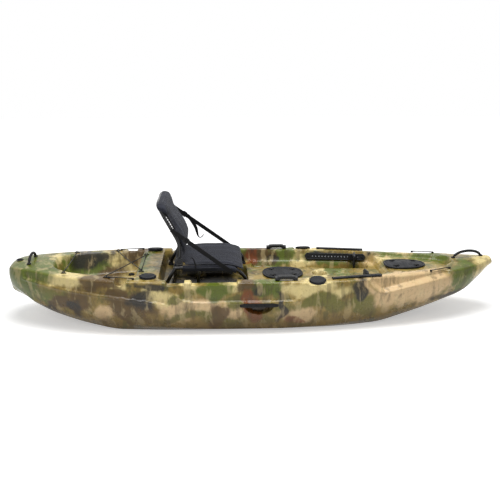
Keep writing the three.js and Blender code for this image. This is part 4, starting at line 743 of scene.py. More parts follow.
# Stretched noise from 0 to 1: the powder's colours were dragged down the side as they melted.
def stretchedNoise(tree, place, scale, detail, shift=0.0, distortion=0.0):
    moved = (shift, shift * 0.7, shift * 1.3)
    drag = addNode(tree, "ShaderNodeMapping", None, Vector=place, Scale=scale, Location=moved), 0
    return addNode(tree, "ShaderNodeMapRange", softRamp,
                   i0=(addNode(tree, "ShaderNodeTexNoise", None, Vector=drag, Scale=1.0, Detail=detail,
                               Roughness=0.6, Distortion=distortion), 0), i1=0.32, i2=0.68), 0


# A colour laid on where stretched noise is high: its stretch, detail, shift and bend, then from, to, how much.
def smearNode(tree, place, under, row):
    stretch, detail, shift, bend, low, high, much, code = row
    noise = stretchedNoise(tree, place, stretch, detail, shift, bend)
    return addNode(tree, "ShaderNodeMix", blendColours,
                   i0=(addNode(tree, "ShaderNodeMapRange", softRamp, i0=noise, i1=low, i2=high, i3=0.0,
                               i4=much), 0), i6=under, i7=code), 2


# Pale and dark grounds, each colour where its blotches reach, then smears, mottle, a painted shade towards the
# bottom and wear.
def camoPolyethylene(spec):
    material, tree, shader = newMaterial("rotomoulded camouflage polyethylene")
    place = addNode(tree, "ShaderNodeTexCoord"), 3
    ground = stretchedNoise(tree, place, (7.0, 7.0, 5.0), 6, 4.0, 0.8)
    colour = addNode(tree, "ShaderNodeMix", blendColours, i0=ground, i6=spec["base"], i7=spec["pale"]), 2
    colour = smearNode(tree, place, colour, spec["moss"])
    for i, (name, code, solid) in enumerate(spec["layers"]):
        big = stretchedNoise(tree, place, spec["big"], 4, 3.1 * i, 0.4)
        fine = stretchedNoise(tree, place, spec["fine"], 4, 5.3 * i)
        value = addNode(tree, "ShaderNodeAttribute", {"attribute_name": name}), 2
        for noise, spread in ((big, spec["spread"]), (fine, spec["feather"])):
            moved = addNode(tree, "ShaderNodeMath", {"operation": "MULTIPLY_ADD"}, i0=noise, i1=spread), 0
            moved[0].inputs[2].default_value = -0.5 * spread
            value = addNode(tree, "ShaderNodeMath", {"operation": "ADD"}, i0=value, i1=moved), 0
        mask = addNode(tree, "ShaderNodeMapRange", softRamp, i0=value, i1=-spec["edge"],
                       i2=spec["edge"], i3=0.0, i4=solid), 0
        colour = addNode(tree, "ShaderNodeMix", blendColours, i0=mask, i6=colour, i7=code), 2
    for row in spec["smears"]:
        colour = smearNode(tree, place, colour, row)
    # Painted shade: below about 20 cm the hull is mixed towards dark brown, standing in for the shade on its
    # lower sides.
    height = addNode(tree, "ShaderNodeSeparateXYZ", None, Vector=place), 2
    low = addNode(tree, "ShaderNodeMath", {"operation": "MULTIPLY"},
                  i0=(addNode(tree, "ShaderNodeMapRange", softRamp, i0=height, i1=0.20, i2=0.03, i3=0.0,
                              i4=0.75), 0), i1=(addNode(tree, "ShaderNodeMapRange", softRamp, i0=ground,
                                                        i1=0.0, i2=0.9, i3=0.55, i4=1.0), 0)), 0
    colour = addNode(tree, "ShaderNodeMix", blendColours, i0=low, i6=colour, i7=spec["lowShade"]), 2
    wear = addNode(tree, "ShaderNodeTexNoise", None, Vector=place, Scale=14.0, Detail=4, Roughness=0.6), 0
    rough = addNode(tree, "ShaderNodeMapRange", softRamp, i0=wear, i1=0.3, i2=0.7,
                    i3=spec["roughness"] - 0.06, i4=spec["roughness"] + 0.10), 0
    peel = (addNode(tree, "ShaderNodeTexNoise", None, Vector=place, Scale=260.0, Detail=2,
                    Roughness=0.5), 0)      # orange peel of a few millimetres
    normal = addNode(tree, "ShaderNodeBump", None, Height=peel, Strength=0.10, Distance=0.0006), 0
    setSockets(tree, shader, Base_Color=colour, Roughness=rough, Normal=normal, Specular_IOR_Level=0.34)
    return material


# A plain moulded or coated finish with fine grain, a little colour drift and worn, shinier patches.
def grainedFinish(name, colour, worn, roughness, grain, depth, metallic=0.0, shine=0.5):
    material, tree, shader = newMaterial(name)
    place = addNode(tree, "ShaderNodeTexCoord"), 3
    drift = addNode(tree, "ShaderNodeMapRange", softRamp,
                    i0=(addNode(tree, "ShaderNodeTexNoise", None, Vector=place, Scale=22.0, Detail=4,
                                Roughness=0.6), 0), i1=0.35, i2=0.75), 0
    mixed = addNode(tree, "ShaderNodeMix", blendColours, i0=drift, i6=colour, i7=worn), 2
    rough = addNode(tree, "ShaderNodeMapRange", softRamp,
                    i0=(addNode(tree, "ShaderNodeTexNoise", None, Vector=place, Scale=60.0, Detail=3,
                                Roughness=0.6), 0), i1=0.3, i2=0.7, i3=roughness - 0.06,
                                i4=roughness + 0.06), 0
    normal = addNode(tree, "ShaderNodeBump", None,
                     Height=(addNode(tree, "ShaderNodeTexNoise", None, Vector=place, Scale=grain,
                                     Detail=2, Roughness=0.5), 0), Strength=0.35, Distance=depth), 0
    setSockets(tree, shader, Base_Color=mixed, Roughness=rough, Normal=normal, Metallic=metallic,
               Specular_IOR_Level=shine)
    return material


# Woven cloth: warp and weft as two waves a thread apart, with slubs; thread spacing in millimetres.
def wovenFinish(name, colour, thread, pitch, roughness=0.85, creased=False):
    material, tree, shader = newMaterial(name)
    place = addNode(tree, "ShaderNodeTexCoord"), 3
    axes = addNode(tree, "ShaderNodeSeparateXYZ", None, Vector=place)
    turns = 2 * math.pi / (pitch / 1000)
    wave = []
    for axis in (0, 1):
        angle = addNode(tree, "ShaderNodeMath", {"operation": "MULTIPLY"}, i0=(axes, axis), i1=turns), 0
        wave.append((addNode(tree, "ShaderNodeMath", {"operation": "SINE"}, i0=angle), 0))
    product = addNode(tree, "ShaderNodeMath", {"operation": "MULTIPLY"}, i0=wave[0], i1=wave[1]), 0
    slub = addNode(tree, "ShaderNodeTexNoise", None, Vector=place, Scale=90.0, Detail=4, Roughness=0.6), 0
    height = addNode(tree, "ShaderNodeMath", {"operation": "ADD"}, i0=product, i1=slub), 0
    tone = addNode(tree, "ShaderNodeMapRange", softRamp, i0=height, i1=-0.3, i2=1.4), 0
    mixed = addNode(tree, "ShaderNodeMix", blendColours, i0=tone, i6=colour, i7=thread), 2
    if creased:
        pulled = stretchedNoise(tree, place, (5.0, 46.0, 9.0), 4, 3.0, 0.4)      # creases run fore and aft
        # Painted highlight: where the creases rise the cloth turns a lighter blue-grey.
        mixed = addNode(tree, "ShaderNodeMix", blendColours,
                        i0=(addNode(tree, "ShaderNodeMapRange", softRamp, i0=pulled, i1=0.45, i2=1.0,
                                    i3=0.0, i4=0.36), 0), i6=mixed, i7="#3d404b"), 2
        normal = addNode(tree, "ShaderNodeBump", None, Height=pulled, Strength=0.40, Distance=0.0030), 0
    under = {"Normal": normal} if creased else {}
    normal = addNode(tree, "ShaderNodeBump", None, Height=height, Strength=0.45, Distance=0.0006, **under), 0
    setSockets(tree, shader, Base_Color=mixed, Roughness=roughness, Normal=normal, Specular_IOR_Level=0.2,
               Sheen_Weight=0.06)
    return material


# Name, two colours, roughness, grain scale and depth, then metal or shine where it isn't the usual one
grainSpec = {
    "nylon": ("injection moulded black nylon", "#0b0b0d", "#141518", 0.42, 900.0, 0.0003, 0.0, 0.30),
    "lid": ("satin moulded slate polyethylene", "#0e0f13", "#181a1f", 0.50, 700.0, 0.0004, 0.0, 0.22),
    "rubber": ("moulded synthetic rubber", "#0d0d0e", "#171718", 0.66, 800.0, 0.0004, 0.0, 0.25),
    "anodised": ("black anodised aluminium", "#141519", "#1e2024", 0.36, 1200.0, 0.0001, 0.7),
    "bright": ("clear anodised aluminium", "#8d9096", "#a4a7ab", 0.38, 1200.0, 0.0001, 0.6),
    "coat": ("powder coated aluminium tube", "#050506", "#0b0b0e", 0.19, 1100.0, 0.0001, 0.0, 0.40),
    "cord": ("braided polyester shock cord", "#151515", "#3c3c38", 0.85, 1500.0, 0.0004),
}
camo = camoPolyethylene(camoSpec)
grained = {key: grainedFinish(*row) for key, row in grainSpec.items()}
finishes = {"camo_polyethylene": camo, "black_plastic": grained["nylon"], "grey_plastic": grained["lid"],
            "rubber": grained["rubber"], "anodised_aluminium": grained["anodised"],
            "powder_coat": grained["coat"], "shock_cord": grained["cord"],
            "seat_fabric": wovenFinish("woven polyester seat cloth", "#101117", "#22242d", 1.8, creased=True),
            "webbing": wovenFinish("woven polypropylene webbing", "#030304", "#0a0a0c", 1.6, 0.7)}
pipingCloth = wovenFinish("woven polyester piping tape", "#2a2b30", "#3e4046", 1.2, 0.7)


# Every CAD node that stays visible takes the finish of its own slot.
def dressNodes():
    slots = {row["node"]: row["material_slot"] for row in frame["record"]["subparts"]}
    for name, obj in frame["nodes"].items():
        obj.data.materials.clear()
        obj.data.materials.append(finishes[slots[name]])


dressNodes()
paintBlotches(hullSkin)
finishPiece(hullSkin, "hull_body", "camo_polyethylene", camo, "hull")
print("finishes ready")

# Fittings: mouldings stacked from outlines, and slabs with a relief on one face

# An outline drawn in by each level's inset and stacked at its height, closed over both ends.
def moulding(name, outline, levels, place=(0, 0, 0), turn=None):
    rows = []
    for inset, height in levels:
        flat = outline(inset)
        rows.append(np.column_stack([flat, np.full(len(flat), height)]))
    points = np.array(rows)
    if turn is not None:
        points = points @ np.asarray(turn).T
    return gridMesh(name, points + np.asarray(place))


# A rounded oval as a function of its inset; the power squares it and the taper narrows its front.
def oval(halfLong, halfWide, power=1.0, taper=1.0, count=96):
    angle = fullTurn(count)
    c, s = np.cos(angle), np.sin(angle)

    def outline(inset):
        narrow = 1 + (taper - 1) * (1 + c) / 2
        return np.column_stack([(halfLong - inset) * squared(c, power),
                                (halfWide - inset) * narrow * squared(s, power)])
    return outline


# A round-ended slab: x and y over its plan, the front lifted by a relief, the edges rounded off.
def reliefSlab(name, length, width, depth, relief, place, turn, steps=(120, 24), soft=0.002, square=0.0):
    u = np.linspace(-1, 1, steps[0])
    x = np.sin(u * math.pi / 2) * length / 2
    end = width / 2 * (1 - square)
    past = np.clip((np.abs(x) - (length / 2 - end)) / end, 0, 1)
    half = width / 2 - end + end * np.sqrt(1 - past ** 2)
    v = np.sin(np.linspace(-1, 1, steps[1]) * math.pi / 2)
    xs, vs = np.meshgrid(x, v, indexing="ij")
    ys = vs * half[:, None]
    edge = np.minimum(length / 2 - np.abs(xs), half[:, None] - np.abs(ys))
    fall = soft - np.sqrt(np.maximum(0, soft ** 2 - np.clip(soft - edge, 0, soft) ** 2))
    front = np.stack([xs, ys, depth - fall + relief(xs, ys)], axis=-1)
    back = np.stack([xs, ys, np.zeros_like(xs)], axis=-1)[:, ::-1]
    points = np.concatenate([front, back], axis=1) @ np.asarray(turn).T + np.asarray(place)
    return gridMesh(name, points, sharp=50)


# The middle of a CAD node's box in plan, at its lowest height or a drop below its highest.
def nodePlace(node, drop=None):
    low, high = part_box(node)
    return np.array([(low[0] + high[0]) / 2, (low[1] + high[1]) / 2, low[2]
                     if drop is None else high[2] - drop])


# Three axes as a turn; the second one is reversed where the three would mirror.
def turnOf(*axes):
    turn = np.column_stack(axes)
    return turn * np.array([1, -1, 1]) if np.linalg.det(turn) < 0 else turn


# A screw head turned about its axis, with a shallow hollow in its top.
def screwHead(name, place, up, radius=0.005, height=0.0025):
    profile = [(radius * 0.55, height * 0.35), (radius * 0.62, height), (radius * 0.85, height * 0.92),
               (radius, height * 0.45), (radius, -0.001)]
    return turned(name, profile, place, up, count=16)


# A piece in its slot's own finish, on its body.
def ride(obj, body, slotName, *replaced):
    return finishPiece(obj, body, slotName, finishes[slotName], *replaced)


# Hatch lids: a rolled edge, a drain groove and a raised panel with cross ribs

hatchSpec = {
    "bow": {"x": 0.95694, "z": 0.297, "halfLong": 0.1310, "halfWide": 0.110, "taper": 0.72, "latch": 0.50},
    "centre": {"x": 0.17507, "z": 0.251, "halfLong": 0.1280, "halfWide": 0.120, "taper": 0.95, "latch": 0.52},
}
lidSpec = {"seat": 0.0044, "edge": 0.0075, "groove": (0.011, 0.017, 0.0030), "crown": 0.0055,
           "ribs": 5, "ribHeight": 0.0009, "latchSink": 0.0060}


# Four latches at a share of the lid's half length and width, the front pair closer together.
def latchPlaces(spec):
    reach = (spec["halfLong"] * spec["latch"], spec["halfWide"] * spec["latch"])
    return [(spec["x"] + u * reach[0], v * reach[1] * (0.86 if u > 0 else 1))
            for u, v in ((-1, 1), (-1, -1), (1, 1), (1, -1))]


# Height over the flange by distance in from the edge, with ribs across and a shallow sink at each latch.
def makeLid(name, spec, lid):
    outline = oval(spec["halfLong"], spec["halfWide"], 0.8, spec["taper"], 160)
    top = lid["seat"] + lid["edge"]
    insets = np.concatenate([np.linspace(0, 0.022, 26), np.linspace(0.026, spec["halfWide"] - 0.004, 24)])
    start, end, deep = lid["groove"]
    rolled = 0.004 - np.sqrt(np.maximum(0, 0.004 ** 2 - np.clip(0.004 - insets, 0, 0.004) ** 2))
    groove = softStep(start, start + 0.002, insets) - softStep(end - 0.001, end + 0.002, insets)
    height = top - rolled - deep * groove + lid["crown"] * softStep(end, spec["halfWide"], insets)
    rows = [np.column_stack([outline(0.003), np.full(160, lid["seat"])]),
            np.column_stack([outline(0), np.full(160, lid["seat"] + 0.0005)])]
    for inset, z in zip(insets, height):
        rows.append(np.column_stack([outline(inset), np.full(160, z)]))
    points = np.array(rows)
    x, y = points[2:, :, 0], points[2:, :, 1]
    flank = 1 - softStep(spec["halfWide"] * 0.55, spec["halfWide"] * 0.8, np.abs(y))
    panel = softStep(end + 0.006, end + 0.014, insets)[:, None] * flank
    wave = np.clip(np.cos(x / spec["halfLong"] * math.pi * lid["ribs"]) * 3, -1, 1)
    points[2:, :, 2] += panel * lid["ribHeight"] * wave * (np.abs(x) < spec["halfLong"] * 0.55)
    for lx, ly in latchPlaces(spec):
        away = np.hypot(x + spec["x"] - lx, y - ly)      # round, so that the lever can turn in it
        points[2:, :, 2] -= lid["latchSink"] * (1 - softStep(0.0165, 0.0210, away))
    points += np.array([spec["x"], 0, spec["z"]])
    return gridMesh(f"{name}_lid", points)


# A lever lying across its post, waisted in the middle, with a thumb ridge along it.
def makeLatchLever(name, x, y, z):
    outline = oval(0.0148, 0.0062, 0.85, 1.0, 40)
    levels = [(0.0008, 0.0125), (0, 0.0131), (0, 0.0160), (0.0007, 0.0172), (0.0018, 0.0180),
              (0.0034, 0.0183), (0.0036, 0.0194), (0.0042, 0.0199), (0.0052, 0.0200)]
    post = turned("post", [(0.0030, 0.0048), (0.0040, 0.0052), (0.0040, 0.0130), (0.0036, 0.0135)],
                  (x, y, z), count=18)
    lever = moulding("lever", outline, levels, (x, y, z))
    return joinPieces(name, [lever, post])


for hatch, spec in hatchSpec.items():
    ride(makeLid(hatch, spec, lidSpec), f"{hatch}_lid", "grey_plastic", f"{hatch}_hatch_lid")
    for i, (x, y) in enumerate(latchPlaces(spec), 1):
        lever = makeLatchLever(f"{hatch}_lever_{i}", x, y, spec["z"])
        ride(lever, f"{hatch}_latch_{i}", "black_plastic", f"{hatch}_hatch_latch_{i}")
print("hatch lids ready")


# Rod holders: an oval flange that runs into a leaning bore, under a dished cap on a hinge

rodSpec = {
    "places": {"rear": (-0.64996, 0.300, 0.33602, 8), "front": (0.34694, 0.352, 0.31502, 24)},
    "halfLong": 0.050, "halfWide": 0.037, "flange": (0.0005, 0.0048), "bore": 0.019, "wall": 0.0025,
    "length": 0.118, "lean": 20, "cap": (0.0056, 0.0138), "inset": 0.004,
}


# Rows run up the outside of the tube, out under the flange, over it, and down the bore.
def makeRodHolder(name, place, side, spec):
    x, y, z, tilt = place
    angle = fullTurn(72)
    ring = np.stack([np.cos(angle), np.sin(angle)], axis=-1)
    lean, tip = math.radians(spec["lean"]), -side * math.radians(tilt)
    down = np.array([math.sin(lean), 0, -math.cos(lean)])
    tiltTurn = np.array([[1, 0, 0], [0, math.cos(tip), -math.sin(tip)], [0, math.sin(tip), math.cos(tip)]])
    acrossBore = np.stack([ring[:, 0] / math.cos(lean), ring[:, 1], np.zeros(72)], axis=-1)

    def plate(inset, height):
        flat = np.stack([ring[:, 0] * (spec["halfLong"] - inset), ring[:, 1] * (spec["halfWide"] - inset),
                         np.full(72, height)], axis=-1)
        return flat @ tiltTurn.T

    def tube(radius, depth):
        return acrossBore * radius + down * depth
    low, high = spec["flange"]
    outer, bore = spec["bore"] + spec["wall"], spec["bore"]
    rows = [tube(outer * 0.5, spec["length"]), tube(outer, spec["length"]), tube(outer, 0.02),
            tube(outer, 0.004),
            plate(0.0005, low), plate(0, low + 0.001), plate(0, high - 0.0015), plate(0.0006, high - 0.0004),
            plate(0.0018, high)]
    face = plate(0.0018, high)
    rim = acrossBore * (bore + 0.0022)
    rim = np.column_stack([rim[:, :2], (rim @ np.array([0, 1, 0]))[:, None] * math.tan(tip) + high])
    rows += [face + (rim - face) * t for t in (0.35, 0.7, 0.92)] + [rim, tube(bore, 0.003)]
    rows += [tube(bore, depth) for depth in (0.02, 0.06, 0.100, spec["length"] - spec["wall"])]
    rows.append(tube(bore * 0.5, spec["length"] - spec["wall"]))
    points = np.array(rows) + np.array([x, side * y, z])
    return gridMesh(name, points, sharp=40)


# A cap of stacked ovals, dished on top, with a thumb tab in front and a hinge knuckle behind.
def makeRodCap(name, place, side, spec):
    x, y, z, tilt = place
    tip = -side * math.radians(tilt)
    turn = np.array([[1, 0, 0], [0, math.cos(tip), -math.sin(tip)], [0, math.sin(tip), math.cos(tip)]])
    low, high = spec["cap"]
    outline = oval(spec["halfLong"] - spec["inset"], spec["halfWide"] - spec["inset"], 0.94, 1.0, 96)
    levels = [(0.0010, low), (0, low + 0.0006), (0, high - 0.0045), (0.0006, high - 0.0025),
              (0.0020, high - 0.0008), (0.0042, high), (0.0068, high - 0.0003), (0.0086, high - 0.0014),
              (0.0105, high - 0.0018), (0.0160, high - 0.0016), (0.0230, high - 0.0008),
              (0.0300, high - 0.0004)]
    middle = np.array([x, side * y, z])
    cap = moulding("cap", outline, levels, middle, turn)
    front, rear = spec["halfLong"] - spec["inset"] - 0.001, 0.004 - spec["halfLong"]
    levels = [(0.001, low + 0.001), (0, low + 0.0016), (0, low + 0.0040), (0.0010, low + 0.0050),
              (0.0030, low + 0.0052)]
    tab = moulding("tab", oval(0.006, 0.010, 0.8, 1.0, 32), levels,
                   middle + turn @ np.array([front, 0, 0]), turn)
    pin = [(0.0030, -0.0120), (0.0038, -0.0112), (0.0038, 0.0112), (0.0030, 0.0120)]
    knuckle = turned("knuckle", pin, middle + turn @ np.array([rear, 0, low + 0.0040]),
                     turn @ np.array([0, 1.0, 0]), count=18)
    return joinPieces(name, [cap, tab, knuckle])


for kind, place in rodSpec["places"].items():
    for side, sign in sides.items():
        ride(makeRodHolder(f"rod_tube_{kind}_{side}", place, sign, rodSpec), "hull_body", "black_plastic",
             f"rod_holder_{kind}_{side}")
        ride(makeRodCap(f"rod_lid_{kind}_{side}", place, sign, rodSpec), f"rod_cap_{kind}_{side}",
             "grey_plastic", f"rod_cap_{kind}_{side}")


# Plugs

plugSpec = {"scupper": 0.015, "head": 0.0202, "scupperRise": 0.0054, "drainRise": 0.0104}


# A rubber bung: tapered ribbed stem, thin flange and a pull loop's stub on top.
def makeScupperPlug(name, place, spec):
    r, head = spec["scupper"] - 0.0008, spec["head"]
    profile = [(r * 0.7, -0.0120), (r * 0.92, -0.0110), (r * 0.98, -0.0080), (r * 0.9, -0.0068), (r, -0.0050),
               (r * 0.94, -0.0010), (r, 0.0003), (head * 0.96, 0.0005), (head, 0.0012), (head, 0.0032),
               (head * 0.93, 0.0046), (head * 0.70, 0.0053), (head * 0.40, 0.0048), (head * 0.30, 0.0030)]
    return turned(name, profile, place, count=40, sharp=None)


for side, sign in sides.items():
    for kind in ("tank", "leg"):
        node = f"scupper_plug_{kind}_{side}"
        place = nodePlace(node, plugSpec["scupperRise"])
        ride(makeScupperPlug(f"bung_{kind}_{side}", place, plugSpec), f"scupper_{kind}_{side}",
             "rubber", node)


# A screw plug: fluted rim, threaded stem and a cross grip.
def makeDrainPlug(name, place):
    angle = fullTurn(96)
    flute = 1 + 0.035 * np.cos(angle * 16)
    rows = []
    profile = [(0.0112, -0.024, 0), (0.0124, -0.023, 0), (0.0124, -0.001, 0), (0.0215, 0.0006, 0),
               (0.0218, 0.0014, 1), (0.0218, 0.0042, 1), (0.0205, 0.0053, 0.6), (0.016, 0.0056, 0)]
    for radius, height, share in profile:
        r = radius * (1 + (flute - 1) * share) / (1 + 0.035 * share)
        rows.append(np.column_stack([r * np.cos(angle), r * np.sin(angle), np.full(96, height)]))
    body = gridMesh("plug", np.array(rows) + np.asarray(place), sharp=40)
    grip = moulding("grip", oval(0.0150, 0.0026, 0.5, 1.0, 32),
                    [(0.0004, 0.0050), (0, 0.0056), (0, 0.0090), (0.0006, 0.0100), (0.0014, 0.0103)], place)
    return joinPieces(name, [body, grip])


drainPlace = nodePlace("drain_plug", plugSpec["drainRise"])
ride(makeDrainPlug("drain_screw", drainPlace), "drain", "black_plastic", "drain_plug")
print("rod holders and plugs ready")


# Handles

handleSpec = {
    "bow": {"feet": [(1.272, 0, 0), (1.450, 0, 0)]},
    "stern": {"feet": [(-1.388, 0.084, 0), (-1.388, -0.084, 0)]},
    "tube": 0.0085, "foot": 0.013,
}
archShares = [(0, 0.0), (0.05, 0.32), (0.14, 0.62), (0.28, 0.88), (0.5, 1.0), (0.72, 0.88),
              (0.86, 0.62), (0.95, 0.32), (1, 0.0)]


# A rubber grip over a rope arch: the section swells over the grip and necks where it meets its feet.
def makeEndHandle(name, node, spec, common):
    a, b = [np.array(foot, float) for foot in spec["feet"]]
    base = [crownedDeck(x, y, 0.2) + 0.0006 for x, y, _ in spec["feet"]]
    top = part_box(node)[1][2] - common["tube"]
    path = []
    for share, rise in archShares:
        p = a + (b - a) * share
        ground = base[0] + (base[1] - base[0]) * share + 0.003
        crest = top - (base[0] + base[1]) / 2 - 0.003
        path.append([p[0], p[1], ground + rise * crest])
    path = smoothPath(path, 64)
    t = np.linspace(-1, 1, 64)
    grip = softStep(0.80, 0.72, np.abs(t))
    thick = 0.72 + 0.27 * grip + 0.012 * grip * np.cos(t * 46)
    pieces = [sweep("arch", path, circle(common["tube"], 20), scale=thick)]
    for foot, ground in zip(spec["feet"], base):
        r = common["foot"]
        profile = [(r, 0.0005), (r, 0.0042), (r * 0.88, 0.0060), (r * 0.66, 0.0076), (r * 0.40, 0.0079)]
        pieces.append(turned("foot", profile, (foot[0], foot[1], ground), count=28))
    return joinPieces(name, pieces)


# The deck's height at a place: the gunwale line plus a crown that falls off as a parabola.
def crownedDeck(x, y, reach=None):
    share = np.array([x / hullSpec["halfLength"]])
    beam, gunwale, crown = [hullLines[name](share)[0] for name in ("beam", "gunwale", "crown")]
    reach = reach or beam * hullSpec["halfBeam"] - hullSpec["lipRound"]
    return float((gunwale + crown * max(0, 1 - (y / reach) ** 2)) * hullSpec["sheer"])


for end in ("bow", "stern"):
    ride(makeEndHandle(f"{end}_grip", f"{end}_handle", handleSpec[end], handleSpec), "hull_body",
         "rubber", f"{end}_handle")

sideHandleSpec = {"height": 0.024, "thick": 0.007, "half": 0.113, "screw": 0.103}


# A moulded strap over each scoop: grip ribs in the middle, a screw at each end.
def makeSideHandle(name, node, side, spec):
    low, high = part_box(node)
    inner = low[1] if side > 0 else -high[1]
    middle = (low[2] + high[2]) / 2

    def relief(x, y):
        ribs = 0.0009 * np.clip(np.sin(x * 2 * math.pi / 0.008) * 2, -1, 1)
        ribs = ribs * softStep(0.060, 0.054, np.abs(x)) * softStep(0.0105, 0.0085, np.abs(y))
        ends = -0.0032 * softStep(0.080, 0.108, np.abs(x))
        return ribs + ends
    turn = np.column_stack([(1, 0, 0), (0, 0, 1), (0, side, 0)])
    strap = reliefSlab("strap", 2 * spec["half"], spec["height"], spec["thick"] - 0.0011, relief,
                       (0, side * inner, middle), turn, steps=(200, 22), square=0.35)
    heads = [screwHead("screw", (x, side * (inner + 0.0030), middle), (0, side, 0), 0.0056, 0.0016)
             for x in (-spec["screw"], spec["screw"])]
    return joinPieces(name, [strap] + heads)


for side, sign in sides.items():
    ride(makeSideHandle(f"side_grip_{side}", f"side_handle_{side}", sign, sideHandleSpec), "hull_body",
         "rubber", f"side_handle_{side}")

grabSpec = {"height": 0.031, "bar": 0.0122, "width": 0.0185}


# A flat bar bent into an arch with a foot at each end, ribbed over its top.
def makeGrab(name, node, spec):
    x0, y0, z0 = nodePlace(node)
    top = spec["height"] - spec["bar"]
    rise = [(0.066, spec["bar"] * 0.9), (0.056, spec["bar"] * 0.9), (0.050, 0.008), (0.043, 0.0165),
            (0.036, top - 0.001), (0.024, top)]
    path = [(-x, z) for x, z in rise] + [(0, top)] + rise[::-1]
    path = smoothPath([(x0 + x, y0, z0 + z) for x, z in path], 110)
    along = path[:, 0] - x0
    angle = fullTurn(28)
    c, s = np.cos(angle), np.sin(angle)
    section = np.stack([squared(c, 0.45), squared(s, 0.6)], axis=-1)
    tangent = np.gradient(path, axis=0)
    tangent /= np.linalg.norm(tangent, axis=1, keepdims=True)
    up = np.cross(tangent, (0, -1.0, 0))
    wide = spec["width"] * (1 - 0.18 * softStep(0.050, 0.025, np.abs(along)))
    rib = 1 + 0.05 * np.cos(along * 2 * math.pi / 0.007) * softStep(0.030, 0.024, np.abs(along))
    points = path[:, None, :] + wide[:, None, None] * section[None, :, :1] * np.array([0, 1.0, 0]) \
        + (spec["bar"] * 0.86 * rib)[:, None, None] * section[None, :, 1:] * up[:, None, :]
    bar = gridMesh("bar", points, sharp=50)
    heads = [screwHead("screw", (x0 + end * 0.0605, y0, z0 + 0.0080), (0, 0, 1), 0.0048, 0.0018)
             for end in (-1, 1)]
    return joinPieces(name, [bar] + heads)


for side, sign in sides.items():
    ride(makeGrab(f"deck_grip_{side}", f"grab_handle_{side}", grabSpec), "hull_body", "black_plastic",
         f"grab_handle_{side}")
print("handles ready")


# Foot braces: a slotted rail with stop holes, and a ribbed pedal on a slider

braceSpec = {"length": 0.404, "height": 0.046, "depth": 0.013, "hole": 0.0045,
             "holes": 15, "span": 0.300, "lean": 11.5, "screws": 0.179, "pedalWide": 0.086,
             "pedalHigh": 0.098, "pedalThick": 0.015}
wallAft, wallFore = wellSpec["cockpit"]["plan"][2:4]      # the rail follows this run of the cockpit's wall
braceTurn = math.atan((wallFore[1] - wallAft[1]) * hullSpec["halfBeam"]
                      / ((wallFore[0] - wallAft[0]) * hullSpec["halfLength"]))


# The rail's middle and its own axes: along the wall, up its face, and out from it.
def braceFrame(side):
    low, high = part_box(f"foot_rail_{side}")
    sign = sides[side]
    centre = (np.array(low) + np.array(high)) / 2
    along = np.array([math.cos(braceTurn), sign * math.sin(braceTurn), 0])
    inward = np.array([math.sin(braceTurn), -sign * math.cos(braceTurn), 0])
    lean = math.radians(braceSpec["lean"])
    out = inward * math.cos(lean) + np.array([0, 0, 1.0]) * math.sin(lean)
    up = np.cross(out, along)
    up = up if up[2] > 0 else -up
    return centre, along, up, out


# A round-ended rail whose face is sunk along a channel and at each stop hole.
def makeRail(name, side, spec):
    centre, along, up, out = braceFrame(side)
    places = np.linspace(-spec["span"] / 2, spec["span"] / 2, spec["holes"])

    def relief(x, y):
        depth = np.zeros_like(x)
        for at in places:
            away = np.hypot(x - at, y)
            depth = np.maximum(depth, 1 - softStep(spec["hole"] * 0.75, spec["hole"] * 1.25, away))
        channel = softStep(0.0170, 0.0150, np.abs(y)) * softStep(0.186, 0.182, np.abs(x))
        return -0.0075 * depth - 0.0022 * channel
    turn = turnOf(along, up, out)
    rail = reliefSlab("rail", spec["length"], spec["height"], spec["depth"], relief,
                      centre - out * spec["depth"] / 2, turn, steps=(360, 34), soft=0.003)
    face = centre + out * (spec["depth"] / 2 - 0.0012)
    heads = [screwHead("screw", face + along * end * spec["screws"], out, 0.0065, 0.0030) for end in (-1, 1)]
    return joinPieces(name, [rail] + heads)


# Bright stops in the rail's holes, which the slider's pin drops into.
def makeStops(name, side, spec):
    centre, along, _, out = braceFrame(side)
    profile = [(0.0042, 0.0), (0.0042, 0.0030), (0.0036, 0.0038), (0.0022, 0.0040), (0.0016, 0.0022)]
    places = np.linspace(-spec["span"] / 2, spec["span"] / 2, spec["holes"])
    floor = centre + out * (spec["depth"] / 2 - 0.0042)
    return joinPieces(name, [turned("stop", profile, floor + along * at, out, count=16) for at in places])


# The tread faces aft with cross ribs; a rounded web carries it on the slider.
def makePedal(name, side, spec):
    low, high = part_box(f"foot_pedal_{side}")
    centre, along, _, out = braceFrame(side)
    sign = sides[side]
    treadCentre = np.array([0.6690, sign * ((abs(low[1]) + abs(high[1])) / 2 - 0.004), 0.2765])

    def relief(x, y):
        ribs = 0.0018 * np.clip(np.cos(x * 2 * math.pi / 0.012) * 1.6, -1, 1)
        return ribs * softStep(0.040, 0.034, np.abs(y)) * softStep(0.046, 0.040, np.abs(x))
    turn = turnOf((0, 0, 1), -out * np.array([1, 1, 0]) / np.linalg.norm(out[:2]), -along)
    tread = reliefSlab("tread", spec["pedalHigh"], spec["pedalWide"] - 0.004, spec["pedalThick"] - 0.005,
                       relief, treadCentre + along * 0.006, turn, steps=(110, 56), soft=0.003, square=0.5)

    def grooves(x, y):
        return -0.0012 * softStep(0.3, 0.8, np.sin(x * 2 * math.pi / 0.006))
    root = centre + along * 0.120 + out * (spec["depth"] / 2 + 0.0006)
    turn = turnOf(along, np.cross(out, along), out)
    slider = reliefSlab("slider", 0.060, 0.042, 0.0125, grooves, root, turn, steps=(70, 20), soft=0.003,
                        square=0.6)
    levels = [(0.0006, 0.0), (0, 0.002), (0.0008, 0.030), (0.0016, 0.050), (0.0026, 0.056)]
    web = moulding("web", oval(0.0050, 0.0180, 0.7, 1.0, 28), levels, root + along * -0.002, turn)
    return joinPieces(name, [tread, slider, web])


